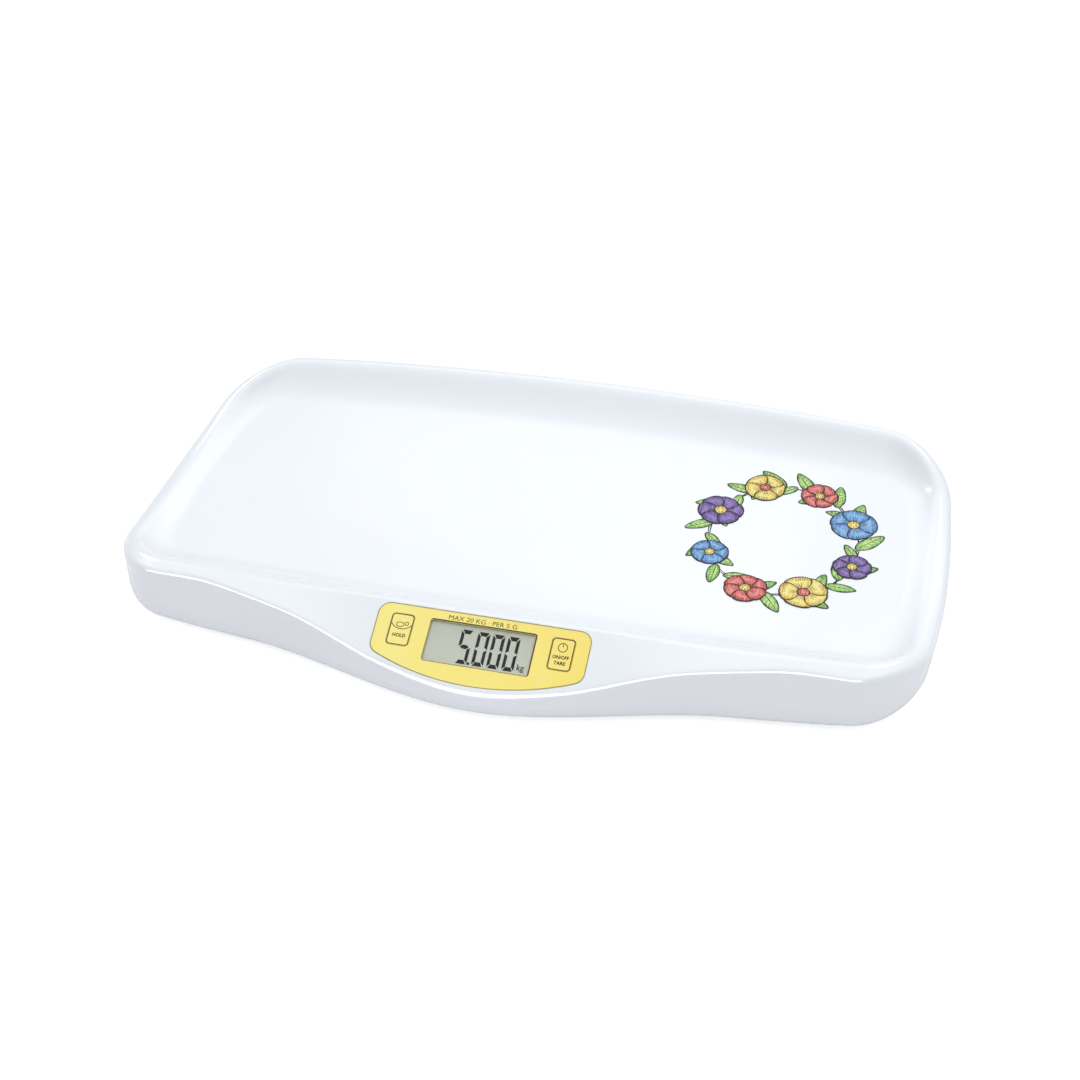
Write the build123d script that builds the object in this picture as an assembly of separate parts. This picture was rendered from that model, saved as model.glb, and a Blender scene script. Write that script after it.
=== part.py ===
from build123d import *
import os
from math import cos, hypot, pi, radians, sin, sqrt, tan

# Digital baby weighing scale. A white tray shell with a dished top stands on four
# feet, each under the bending tongue of its own load cell. A yellow display panel with
# two keys lies on the sloping apron at the front. Millimetres, +X along the length,
# -Y is the front, +Z up, with the origin on the floor under the middle of the body.

os.makedirs("parts", exist_ok=True)

# ---------------------------------------------------------------- driving dimensions
# Plan of the body
length = 550.0                # end to end
corner_depth = 257.0          # front to back at the corners
side_bow = 13.0               # how far the ends bow out at mid depth
back_bow = 21.8               # how far the back bows out at mid length
front_bow = 23.6              # the same for the front wall
crest_bow = 10.7              # the same for the tray's front edge
front_corner_radius = 44.0
back_corner_radius = 51.0
bulge = 23.7                  # extra depth of the front at the display
bulge_reach = 159.0           # half the length over which the bulge fades out
display_x = -2.0              # middle of the display and of the bulge

# Heights and section of the body
underside = 5.0               # body above the floor
rim_height = 45.0             # crest of the rim above the floor
end_dip = 22.5                # how far the rim dips at mid depth of each end
rim_width = 11.8              # crest to outer wall
rim_drop = 3.0                # fall of the rim's top face towards the wall
crease_softness = 5.0         # size of the rounding between rim and wall
base_rounding = 9.6           # size of the rounding between wall and underside
front_flare = 4.0             # how far the front wall leans out towards its foot
end_tuck = 1.4                # how far the end walls lean in
wall = 3.0                    # thickness of the shell
lip_width = 14.0              # underside of the shell, from its wall to the base plate

# Front apron
panel_angle = 25.5            # slope of the display panel
panel_flat = 60.0             # half length over which the apron keeps that slope
apron_fade = 90.0             # length over which the slope then dies away
apron_end_slope = 0.15        # fall per millimetre that is left past the fade
shoulder_x = 191.0            # place of the apron's two shoulders beside the bulge
shoulder_reach = 54.0         # half length of a shoulder
shoulder_tuck = 5.2           # how far the wall's top edge steps back there

# Dish of the tray
dish_floor = 24.0             # lowest point of the dish above the floor
dish_cup = 7.0                # rise of the dish towards front and back
dish_fall = 1.0               # fall of the dish towards the ends
dish_band = 32.0              # width of the curved band under the front and back crest
dish_end_band = 16.0          # the same at mid depth of each end

# Display panel, measured in its own sloping plane from the front crest
panel_width = 137.4
panel_top = 2.6               # crest to the panel's top edge
panel_side = 33.0             # length of the panel's straight sides
panel_bottom = 50.2           # crest to the lowest point of the bottom curve
panel_corner = 8.0
film = 0.5                    # thickness of the printed film
film_sink = 0.1               # how far the film lies below the apron
window_width = 67.3
window_height = 27.4
window_y = 23.7               # crest to the middle of the window
lens = 1.0
lens_lap = 1.9                # how far the lens reaches under the film
lcd_margin = 0.3              # LCD glass beyond the window, each way
lcd_glass_thickness = 2.75
lcd_frame_border = 4.0
key_width = 14.6
key_height = 21.3
key_x = 51.7                  # each key's middle from the panel's middle
key_y = 19.9                  # crest to the keys' middle
key_corner = 2.5
key_flange = 1.2
key_travel = 0.5

# Main board behind the panel
board_drop = 8.5              # apron surface to the board's front face
board = 1.6
board_width = 134.0
board_tab_width = 84.0        # lower part of the board, behind the window
board_top = 4.0               # crest to the board's top edge
board_shoulder = 34.0
board_bottom = 43.5
board_post_x = 63.5
board_post_rows = (8.0, 30.0)
board_post_radius = 2.6
board_screw_radius = 1.1
switch_size = 6.0
stem_radius = 1.7
chip_radius = 6.5
chip_height = 1.8

# Feet and load cells
foot_x = 200.0
foot_front_y = -62.0
foot_back_y = 96.0
foot_radius = 17.0
foot_flange = 2.5
foot_flange_thickness = 1.5
pad_thickness = 2.5
pad_grip = 1.0                # depth of the pad that sits in the foot
foot_post_radius = 4.0
well_height = 6.5             # top of the well above the base plate
well_wall = 3.2
cell_thickness = 1.5
tongue_width = 15.0
tongue_length = 25.0
tongue_slot = 1.5             # width of the slot cut round the tongue
gauge_gap = 1.0               # root of the tongue to the strain gauge
gauge_size = 7.0

# Battery box, four AAA cells side by side
cell_length = 44.5
cell_radius = 5.25
cell_pitch = 11.4
cells = 4
battery_x = 0.0
battery_y = 34.0
box_wall = 1.5
spring_room = 5.5
plate_room = 1.2
door = 2.0
door_travel = 10.0
door_tongue = 1.6

# Unit button on the underside
unit_x = 62.0
unit_y = 34.0
unit_radius = 3.5
unit_travel = 1.0
unit_board_size = 20.0

# Ribs under the tray
rib_thickness = 1.6
rib_low = 19.5                # lower edge of the ribs above the floor
cross_ribs = (-150.0, -105.0, -60.0, 60.0, 105.0, 150.0)
long_ribs = (-45.0, 78.0)
rib_front = -72.0
rib_back = 112.0
rib_reach = 172.0

# Fasteners, leads and fits
screw_radius = 1.45
screw_head_radius = 3.0
screw_head = 1.8
screw_length = 11.0
boss_radius = 4.2
lead_diameter = 2.4
battery_lead_diameter = 1.6
slack = 0.3                   # clearance between moving pieces
fit = 0.15                    # clearance between pieces that are put together
screw_fit = 0.05

# ---------------------------------------------------------------- derived body values
half_length = length / 2
half_depth = corner_depth / 2
front_reach = half_depth + front_bow + bulge + front_flare
back_reach = half_depth + back_bow
plan_centre = (front_reach - back_reach) / 2
lid = rim_height + 12.0
panel_slope = tan(radians(panel_angle))
floor_top = underside + wall
crest_front_y = plan_centre - half_depth + rim_width - crest_bow


def smoothstep(t):
    t = max(0.0, min(1.0, t))
    return t * t * (3 - 2 * t)


# ---------------------------------------------------------------- helpers
def block(x0, x1, y0, y1, z0, z1):
    """A box between two corners."""
    return Pos((x0 + x1) / 2, (y0 + y1) / 2, (z0 + z1) / 2) * Box(x1 - x0, y1 - y0, z1 - z0)


def rod(x, y, z0, z1, radius):
    """An upright cylinder."""
    return Pos(x, y, (z0 + z1) / 2) * Cylinder(radius, z1 - z0)


def tablet(x, y, width, height, corner, z0, z1):
    """An upright prism with a rounded rectangular section."""
    outline = Pos(x, y, z0) * RectangleRounded(width, height, corner)
    return extrude(outline, z1 - z0)


def save(name, shape):
    export_step(shape, f"parts/{name}.step")


# ---------------------------------------------------------------- plan of the body
def outline_samples():
    """Points and outward normals round the rounded rectangle, from mid front."""
    front_x = half_length - front_corner_radius
    back_x = half_length - back_corner_radius
    front_y = front_corner_radius - half_depth
    back_y = half_depth - back_corner_radius
    front_steps, corner_steps, end_steps, back_steps = 9, 6, 5, 6
    half = [(front_x * i / front_steps, -half_depth, 0.0, -1.0) for i in range(front_steps)]
    for i in range(corner_steps):
        nx, ny = sin(pi / 2 * i / corner_steps), -cos(pi / 2 * i / corner_steps)
        half.append((front_x + front_corner_radius * nx, front_y + front_corner_radius * ny, nx, ny))
    for i in range(end_steps):
        half.append((half_length, front_y + (back_y - front_y) * i / end_steps, 1.0, 0.0))
    for i in range(corner_steps):
        nx, ny = cos(pi / 2 * i / corner_steps), sin(pi / 2 * i / corner_steps)
        half.append((back_x + back_corner_radius * nx, back_y + back_corner_radius * ny, nx, ny))
    half += [(back_x * (1 - i / back_steps), half_depth, 0.0, 1.0) for i in range(back_steps + 1)]
    return half + [(-x, y, -nx, ny) for x, y, nx, ny in half[-2:0:-1]]


def bowed(x, y, v, bow, swell):
    """Bow the sides of the plan; v runs from -1 at the front line to 1 at the back line."""
    u = x / half_length
    front = (1 - v) / 2
    bump = 1 - smoothstep(abs(x - display_x) / bulge_reach)
    shift = back_bow * (1 - front) * (1 - u**2) - bow * front * (1 - u**2) - swell * bump * front
    return x - side_bow * v**2 * u**5, y + plan_centre + shift


def crest_height(x, v):
    """Height of the rim's crest, which dips towards the middle of each end."""
    return rim_height - end_dip * (1 - v**2) * (x / half_length) ** 4


def base_inset(nx, ny):
    return end_tuck * nx**2 - front_flare * max(0.0, -ny) ** 2


def section(sample, depth):
    """Section of the body at one point of its plan, from the lid down to the underside.

    depth is how far the section lies inside the outer skin.
    """
    x, y, nx, ny = sample
    v = y / half_depth

    def at(inset, bow, swell, z):
        px, py = bowed(x - inset * nx, y - inset * ny, v, bow, swell)
        return Vector(px, py, z)

    crest_z = crest_height(x - rim_width * nx, v)
    crest = at(rim_width, crest_bow, 0, crest_z)
    facing = max(0.0, -ny) ** 2
    past = abs(abs(x - display_x) - shoulder_x) / shoulder_reach
    corner = at(shoulder_tuck * (1 - smoothstep(past)) * facing, front_bow, bulge, 0)
    run = hypot(corner.X - crest.X, corner.Y - crest.Y)
    fade = smoothstep((abs(x - display_x) - panel_flat) / apron_fade)
    slope = panel_slope + (apron_end_slope - panel_slope) * fade
    side_z = crest_z - rim_drop
    front_z = crest_z - slope * run
    corner = Vector(corner.X, corner.Y, side_z + (front_z - side_z) * facing)
    fall = (crest.Z - corner.Z) / run
    sunk = Vector(0, 0, -depth * sqrt(1 + fall**2))
    corner = corner + (crest - corner) * (depth / run) + sunk
    crest = crest + sunk
    inset = base_inset(nx, ny)
    foot = at(inset + depth, front_bow, bulge, underside + base_rounding)
    edge = at(inset + depth, front_bow, bulge, underside + depth)
    heel = at(inset + base_rounding, front_bow, bulge, underside + depth)

    reach = max(crease_softness - depth, 1.0)
    start = corner + (crest - corner).normalized() * reach
    end = corner + (foot - corner).normalized() * reach
    points = [Vector(crest.X, crest.Y, lid), crest]
    points += bend(start, corner, end, 4)
    points += bend(foot, edge, heel, 4)
    return points


def bend(start, corner, end, steps):
    """Points of a soft corner."""
    points = []
    for i in range(steps + 1):
        t = i / steps
        points.append(start * (1 - t) ** 2 + corner * (2 * t * (1 - t)) + end * t**2)
    return points


def body_solid(depth):
    """The body as a closed solid under a flat lid, depth inside its outer skin."""
    sections = [section(sample, depth) for sample in outline_samples()]
    rings = [Wire([Edge.make_spline(list(ring), periodic=True)]) for ring in zip(*sections)]
    return Solid.make_loft(rings, ruled=True)


def plan_face(inset, z):
    """The plan of the base, as a face at height z."""
    points = []
    for x, y, nx, ny in outline_samples():
        step = base_inset(nx, ny) + inset
        px, py = bowed(x - step * nx, y - step * ny, y / half_depth, front_bow, bulge)
        points.append(Vector(px, py, z))
    return Face(Wire([Edge.make_spline(points, periodic=True)]))


# ---------------------------------------------------------------- dish of the tray
def dish_point(s, t, drop):
    """A point of the dish; s and t are 1 on the crest at the end and at the back."""
    half_x = half_length - rim_width
    half_y = half_depth - rim_width
    x, y = s * half_x, t * half_y
    radius = (front_corner_radius if t < 0 else back_corner_radius) - rim_width
    over_x = abs(x) - half_x + radius
    over_y = abs(y) - half_y + radius
    if over_x > 0 and over_y > 0:
        inside = radius - hypot(over_x, over_y)
    else:
        inside = radius - max(over_x, over_y)
    bottom = dish_floor + dish_cup * t**2 - dish_fall * s**2
    band = dish_end_band + (dish_band - dish_end_band) * t**2
    rise = max(0.0, 1 - inside / band) ** 2
    z = bottom + (crest_height(x, t) - bottom) * rise
    px, py = bowed(x, y, t, crest_bow, 0)
    return Vector(px, py, z - drop)


def dish_cutter(drop):
    """Everything above the dish, lowered by drop."""
    overlap, columns, rows = 1.05, 17, 13
    s_values = [overlap * sin(pi / 2 * i / columns) for i in range(-columns, columns + 1)]
    t_values = [overlap * sin(pi / 2 * i / rows) for i in range(-rows, rows + 1)]
    grid = [[dish_point(s, t, drop) for t in t_values] for s in s_values]
    surface = Face.make_surface_from_array_of_points(grid, tol=0.02, min_deg=3, max_deg=5)
    return Solid.extrude(surface, Vector(0, 0, 2 * lid))


# ---------------------------------------------------------------- display panel
# Shapes in the panel's plane: x along the panel, y up the slope with 0 at the crest,
# z out of the apron with 0 at its surface.
panel_plane = Plane(
    origin=(display_x, crest_front_y, rim_height),
    x_dir=(1, 0, 0),
    z_dir=(0, -sin(radians(panel_angle)), cos(radians(panel_angle))),
)
film_top = -film_sink
pocket = film_top - film
lens_bottom = pocket - lens
lcd_top = lens_bottom - fit
lcd_bottom = lcd_top - lcd_glass_thickness
board_front = -board_drop
board_back = board_front - board
key_floor = -(wall + slack + key_flange)
switch_top = key_floor - key_travel - fit
lcd_height = window_height + 2 * lcd_margin


def on_panel(shape):
    return panel_plane.location * shape


def panel_prism(grow, z0, z1):
    """The panel's outline, grown, between two depths."""
    half = panel_width / 2 + grow
    top = -panel_top + grow
    low = -(panel_top + panel_side) - grow
    bottom = -panel_bottom - grow
    edges = [
        Line((-half, low), (-half, top)),
        Line((-half, top), (half, top)),
        Line((half, top), (half, low)),
        ThreePointArc((half, low), (0, bottom), (-half, low)),
    ]
    face = make_face(edges)
    face = fillet(face.vertices(), panel_corner + grow)
    return extrude(Pos(0, 0, z0) * face, z1 - z0)


def window_block(grow, z0, z1):
    half_x = window_width / 2 + grow
    half_y = window_height / 2 + grow
    return block(-half_x, half_x, -window_y - half_y, -window_y + half_y, z0, z1)


def key_tablet(side, grow, z0, z1):
    width, height = key_width + 2 * grow, key_height + 2 * grow
    return tablet(side * key_x, -key_y, width, height, key_corner + max(grow, 0), z0, z1)


def make_display():
    overlay = panel_prism(0, pocket, film_top) - window_block(0, pocket, film_top)
    for side in (-1, 1):
        overlay -= key_tablet(side, slack, pocket, film_top)
    save("display_overlay", on_panel(overlay))
    save("display_lens", on_panel(window_block(lens_lap, lens_bottom, pocket)))

    glass = window_block(lcd_margin, lcd_bottom, lcd_top)
    save("lcd_glass", on_panel(glass))

    border = lcd_margin + lcd_frame_border
    frame_top = -(wall + fit)
    frame = window_block(border, board_front, frame_top)
    frame -= window_block(lcd_margin + fit, lcd_bottom, frame_top)
    frame -= window_block(lcd_margin - 2.4, board_front, lcd_bottom)
    strip_y = -window_y + lcd_height / 2 - 3.6
    strip_half = window_width / 2 - 4
    frame += block(-strip_half - 2, strip_half + 2, strip_y - 2.4, strip_y + 2.4, board_front, lcd_bottom)
    slot = block(-strip_half - fit, strip_half + fit, strip_y - 1.1 - fit, strip_y + 1.1 + fit,
                 board_front, lcd_bottom)
    save("lcd_frame", on_panel(frame - slot))
    strip = block(-strip_half, strip_half, strip_y - 1.1, strip_y + 1.1, board_front, lcd_bottom)
    save("lcd_connector", on_panel(strip))


def make_keys():
    for side, name in ((-1, "hold"), (1, "power")):
        key = key_tablet(side, 0, key_floor, film_top)
        key += key_tablet(side, 1.3, key_floor, key_floor + key_flange)
        key -= key_tablet(side, -1.4, key_floor, film_top - 1.6)
        key += rod(side * key_x, -key_y, key_floor, film_top - 1.0, stem_radius + 1.2)
        save(f"{name}_key", on_panel(key))
        stem = rod(side * key_x, -key_y, switch_top - 1.2, key_floor, stem_radius)
        save(f"{name}_switch_stem", on_panel(stem))


# ---------------------------------------------------------------- main board
def board_posts():
    return [(side * board_post_x, -row) for side in (-1, 1) for row in board_post_rows]


def make_main_board():
    half = board_width / 2
    tab = board_tab_width / 2
    plate = block(-half, half, -board_shoulder, -board_top, board_back, board_front)
    plate += block(-tab, tab, -board_bottom, -board_shoulder, board_back, board_front)
    screws = []
    for x, y in board_posts():
        plate -= rod(x, y, board_back, board_front, board_screw_radius + fit)
        head = rod(x, y, board_back - 1.4, board_back, 2.1)
        head -= block(x - 1.6, x + 1.6, y - 0.3, y + 0.3, board_back - 1.4, board_back - 0.7)
        head -= block(x - 0.3, x + 0.3, y - 1.6, y + 1.6, board_back - 1.4, board_back - 0.7)
        screws.append(head + rod(x, y, board_back, board_front + 4.0, board_screw_radius))
    save("main_board", on_panel(plate))
    save("board_screws", Compound(children=[on_panel(screw) for screw in screws]))

    switches = []
    for side in (-1, 1):
        x = side * key_x
        half_switch = switch_size / 2
        body = block(x - half_switch, x + half_switch, -key_y - half_switch, -key_y + half_switch,
                     board_front, switch_top)
        body -= rod(x, -key_y, switch_top - 1.2 - key_travel - fit, switch_top, stem_radius + 0.1)
        switches.append(on_panel(body))
    save("tact_switches", Compound(children=switches))

    blob = Pos(-18, -24, board_back) * Sphere(chip_radius)
    blob &= block(-40, 40, -44, 0, board_back - chip_height, board_back)
    save("controller_chip", on_panel(blob))

    parts = [block(x, x + 2.0, -14.0, -12.8, board_back - 0.8, board_back) for x in range(-4, 32, 6)]
    parts += [rod(x, -30.0, board_back - 5.0, board_back, 2.5) for x in (10.0, 18.0)]
    parts.append(rod(52.0, -22.0, board_back - 4.5, board_back, 6.0))
    save("board_components", Compound(children=[on_panel(part) for part in parts]))
    sockets = [socket_block(index) for index in range(3)]
    save("lead_sockets", Compound(children=[on_panel(socket) for socket in sockets]))


socket_size = (11.0, 5.0, 4.0)
socket_places = (-36.0, 0.0, 36.0)
socket_y = -9.5


def socket_block(index):
    x = socket_places[index]
    wide, deep, high = socket_size
    return block(x - wide / 2, x + wide / 2, socket_y - deep / 2, socket_y + deep / 2,
                 board_back - high, board_back)


# ---------------------------------------------------------------- feet and load cells
foot_places = [(sx * foot_x, y) for y in (foot_front_y, foot_back_y) for sx in (-1, 1)]
flange_radius = foot_radius + foot_flange
flange_bottom = floor_top + slack
flange_top = flange_bottom + foot_flange_thickness
well_inner = flange_radius + slack
well_outer = well_inner + well_wall
cell_bottom = floor_top + well_height
cell_top = cell_bottom + cell_thickness
foot_bottom = pad_thickness - pad_grip
gauge_offset = tongue_length / 2 + gauge_gap + gauge_size / 2


def make_feet():
    gauges = []
    for index, (x, y) in enumerate(foot_places, start=1):
        cup = rod(x, y, foot_bottom, flange_bottom, foot_radius)
        cup += rod(x, y, flange_bottom, flange_top, flange_radius)
        cup -= rod(x, y, pad_thickness + 1.8, flange_top, foot_radius - 2.2)
        cup += rod(x, y, pad_thickness + 1.8, cell_bottom, foot_post_radius)
        cup -= rod(x, y, foot_bottom, pad_thickness, foot_radius - 2.0 + screw_fit)
        save(f"foot_{index}", cup)
        pad = rod(x, y, 0, pad_thickness, foot_radius - 2.0)
        for ring in (5.0, 9.0):
            pad -= rod(x, y, 0, 0.6, ring + 0.5) - rod(x, y, 0, 0.6, ring - 0.5)
        save(f"foot_pad_{index}", pad)

        half_w, half_l = tongue_width / 2, tongue_length / 2
        cell = block(x - well_outer, x + well_outer, y - well_outer, y + well_outer,
                     cell_bottom, cell_top)
        cell -= block(x - half_w - tongue_slot, x + half_w + tongue_slot,
                      y - half_l - tongue_slot, y + half_l, cell_bottom, cell_top)
        cell += block(x - half_w, x + half_w, y - half_l, y + half_l, cell_bottom, cell_top)
        save(f"load_cell_{index}", cell)
        half_g = gauge_size / 2
        gauges.append(block(x - half_g, x + half_g, y + gauge_offset - half_g,
                            y + gauge_offset + half_g, cell_top, cell_top + 1.0))
    save("strain_gauges", Compound(children=gauges))


def cell_hooks(x, y):
    """Snap hooks that hold one load cell down on its well."""
    hooks = None
    for sx, sy in ((-1, 0), (1, 0), (0, -1)):
        side = well_outer + fit
        top = cell_top + fit
        if sx:
            near, far = sorted((x + sx * side, x + sx * (side + 1.8)))
            tip, back = sorted((x + sx * (side - 1.4), x + sx * (side + 1.8)))
            post = block(near, far, y - 4, y + 4, floor_top, top)
            cap = block(tip, back, y - 4, y + 4, top, top + 1.4)
        else:
            near, far = sorted((y + sy * side, y + sy * (side + 1.8)))
            tip, back = sorted((y + sy * (side - 1.4), y + sy * (side + 1.8)))
            post = block(x - 4, x + 4, near, far, floor_top, top)
            cap = block(x - 4, x + 4, tip, back, top, top + 1.4)
        hooks = post + cap if hooks is None else hooks + post + cap
    return hooks


# ---------------------------------------------------------------- battery box
box_half_x = (cell_length + spring_room + plate_room) / 2
box_half_y = cells * cell_pitch / 2
door_bottom = underside
door_top = underside + door
cell_axis = door_top + slack + cell_radius
box_top = cell_axis + cell_radius + 0.4
door_half_x = box_half_x + 1.0
door_half_y = box_half_y + 1.0


def cell_rows():
    """Each cell's y, and the side its flat end faces."""
    first = battery_y - box_half_y + cell_pitch / 2
    return [(first + i * cell_pitch, -1 if i % 2 else 1) for i in range(cells)]


def lying_rod(x0, x1, y, z, radius):
    return Pos((x0 + x1) / 2, y, z) * Rot(0, 90, 0) * Cylinder(radius, x1 - x0)


def make_batteries():
    springs, contacts = [], []
    nub = 1.0
    for index, (y, flat) in enumerate(cell_rows(), start=1):
        # The nub touches one contact plate, and the spring pushes on the flat end.
        nub_wall = battery_x - flat * (box_half_x - plate_room)
        body_near = nub_wall + flat * nub
        body_far = nub_wall + flat * cell_length
        cell = lying_rod(min(body_near, body_far), max(body_near, body_far), y, cell_axis, cell_radius)
        cell += lying_rod(min(nub_wall, body_near), max(nub_wall, body_near), y, cell_axis, 1.9)
        save(f"battery_{index}", cell)
        spring_wall = battery_x + flat * (box_half_x - plate_room)
        springs.append(contact_spring(body_far, spring_wall, y))
    for side in (-1, 1):
        outer = battery_x + side * box_half_x
        inner = battery_x + side * (box_half_x - plate_room / 3)
        for y, _ in cell_rows():
            near, far = sorted((outer, inner))
            contacts.append(block(near, far, y - 4, y + 4, cell_axis - 4.5, cell_axis + 4.5))
            tip_near, tip_far = sorted((inner, battery_x + side * (box_half_x - plate_room)))
            contacts[-1] += block(tip_near, tip_far, y - 1.5, y + 1.5, cell_axis - 1.5, cell_axis + 1.5)
    save("battery_springs", Compound(children=springs))
    save("battery_contacts", Compound(children=contacts))


def contact_spring(cell_end, wall_x, y):
    """A conical contact spring as a stack of four rings joined by short struts."""
    turns, wire = 4, 0.45
    shape = None
    span = wall_x - cell_end
    margin = wire if span > 0 else -wire
    for i in range(turns):
        x = cell_end + margin + (span - 2 * margin) * i / (turns - 1)
        radius = 2.2 + 1.6 * i / (turns - 1)
        ring = Pos(x, y, cell_axis) * Rot(0, 90, 0) * Torus(radius, wire)
        shape = ring if shape is None else shape + ring
    near, far = sorted((cell_end + margin, wall_x - margin))
    strut = Pos((near + far) / 2, y, cell_axis + 3.0) * Box(far - near, 0.6, 2.6)
    return shape + strut


def make_door():
    plate = block(battery_x - door_half_x, battery_x + door_half_x,
                  battery_y - door_half_y, battery_y + door_half_y, door_bottom, door_top)
    for side in (-1, 1):
        near, far = sorted((battery_x + side * door_half_x, battery_x + side * (door_half_x + door_tongue)))
        for y in (battery_y - door_half_y + 8, battery_y + door_half_y - 14):
            plate += block(near, far, y - 3, y + 3, door_top - 0.8, door_top)
    for i in range(5):
        y = battery_y + door_half_y - 6 - 2.2 * i
        plate -= block(battery_x - 10, battery_x + 10, y - 0.5, y + 0.5, door_bottom, door_bottom + 0.6)
    save("battery_door", plate)


def battery_box():
    """Walls and ceiling of the battery box, on top of the base plate."""
    outer = block(battery_x - box_half_x - box_wall, battery_x + box_half_x + box_wall,
                  battery_y - box_half_y - box_wall, battery_y + box_half_y + box_wall,
                  floor_top, box_top + box_wall)
    rim = door_tongue + slack + box_wall
    outer += block(battery_x - door_half_x - rim, battery_x + door_half_x + rim,
                   battery_y - door_half_y - rim, battery_y + door_half_y + door_travel + rim,
                   floor_top, floor_top + box_wall)
    return outer


def battery_room():
    room = block(battery_x - box_half_x, battery_x + box_half_x,
                 battery_y - box_half_y, battery_y + box_half_y, underside, box_top)
    recess = block(battery_x - door_half_x - slack, battery_x + door_half_x + slack,
                   battery_y - door_half_y - slack, battery_y + door_half_y + door_travel + slack,
                   underside, door_top + slack)
    for side in (-1, 1):
        reach = door_half_x + door_tongue + slack
        near, far = sorted((battery_x + side * door_half_x, battery_x + side * reach))
        for y in (battery_y - door_half_y + 8, battery_y + door_half_y - 14):
            recess += block(near, far, y - 3 - slack, y + 3 + slack + door_travel,
                            door_top - 0.8 - slack, door_top + slack)
    for side in (-1, 1):
        near, far = sorted((battery_x + side * box_half_x, battery_x + side * (box_half_x + box_wall)))
        room += lying_rod(near, far, cell_rows()[0][0], cell_axis, battery_lead_diameter / 2 + fit)
    return room + recess


# ---------------------------------------------------------------- unit button
unit_flange_bottom = floor_top + slack
unit_flange_top = unit_flange_bottom + 1.0
unit_switch_low = unit_flange_top + unit_travel + fit
unit_board_bottom = unit_switch_low + 3.4
unit_board_top = unit_board_bottom + 1.2
post_pin_radius = 0.9


def make_unit_button():
    button = rod(unit_x, unit_y, underside + 0.2, unit_flange_bottom, unit_radius)
    button += rod(unit_x, unit_y, unit_flange_bottom, unit_flange_top, unit_radius + 1.5)
    button -= rod(unit_x, unit_y, underside + 0.2, underside + 0.6, unit_radius - 1.2)
    save("unit_button", button)
    save("unit_switch_stem", rod(unit_x, unit_y, unit_flange_top, unit_switch_low + 0.8, stem_radius))
    half = switch_size / 2
    switch = block(unit_x - half, unit_x + half, unit_y - half, unit_y + half,
                   unit_switch_low, unit_board_bottom)
    switch -= rod(unit_x, unit_y, unit_switch_low, unit_switch_low + 0.8 + unit_travel + fit,
                  stem_radius + 0.1)
    save("unit_switch", switch)
    half_board = unit_board_size / 2
    card = block(unit_x - half_board, unit_x + half_board, unit_y - half_board, unit_y + half_board,
                 unit_board_bottom, unit_board_top)
    for x, y in unit_post_places():
        card -= rod(x, y, unit_board_bottom, unit_board_top, post_pin_radius + fit)
    save("unit_board", card)


def unit_post_places():
    reach = unit_board_size / 2 - 2.4
    return [(unit_x + sx * reach, unit_y + sy * reach) for sx in (-1, 1) for sy in (-1, 1)]


def unit_post(x, y):
    """A post under a corner of the unit board, with a pin through the board."""
    post = rod(x, y, floor_top, unit_board_bottom, 1.8)
    return post + rod(x, y, unit_board_bottom, unit_board_top + 0.8, post_pin_radius)


# ---------------------------------------------------------------- screws and bosses
screw_places = [(-238.0, -20.0), (238.0, -20.0), (-228.0, 62.0), (228.0, 62.0), (-100.0, 126.0),
                (100.0, 126.0), (-150.0, -92.0), (150.0, -92.0), (-82.0, -122.0), (78.0, -122.0)]


def make_housing_screws():
    screws = []
    for x, y in screw_places:
        low = underside + 0.2
        head = rod(x, y, low, low + screw_head, screw_head_radius)
        head -= block(x - 2.2, x + 2.2, y - 0.35, y + 0.35, low, low + 0.9)
        head -= block(x - 0.35, x + 0.35, y - 2.2, y + 2.2, low, low + 0.9)
        screws.append(head + rod(x, y, low + screw_head, low + screw_length, screw_radius))
    save("housing_screws", Compound(children=screws))


# ---------------------------------------------------------------- base plate
def make_base():
    plate = extrude(plan_face(lip_width + slack, underside), wall)
    inner_rib = extrude(plan_face(lip_width + 6.0, floor_top), 4.0)
    inner_rib -= extrude(plan_face(lip_width + 7.8, floor_top), 4.0)
    plate += inner_rib
    for x, y in foot_places:
        plate += block(x - well_outer, x + well_outer, y - well_outer, y + well_outer,
                       floor_top, cell_bottom)
        plate -= rod(x, y, floor_top, cell_bottom, well_inner)
        plate -= rod(x, y, underside, floor_top, foot_radius + slack)
        plate += cell_hooks(x, y)
    plate += battery_box()
    plate -= battery_room()
    for x, y in unit_post_places():
        plate += unit_post(x, y)
    plate -= rod(unit_x, unit_y, underside, floor_top, unit_radius + slack)
    for side in (-1, 1):
        plate += lead_clip(front_lead(side), 3, lead_diameter)
        for run in (3, 6, 8):
            plate += lead_clip(back_lead(side), run, lead_diameter)
        plate += lead_clip(battery_lead(side), 4, battery_lead_diameter)
    for x, y in screw_places:
        plate -= rod(x, y, underside, underside + 0.2 + screw_head, screw_head_radius + fit)
        plate -= rod(x, y, underside, floor_top, screw_radius + fit)
        plate -= rod(x, y, floor_top, floor_top + 5.0, boss_radius + 1.0)
    save("base_plate", plate)


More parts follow.
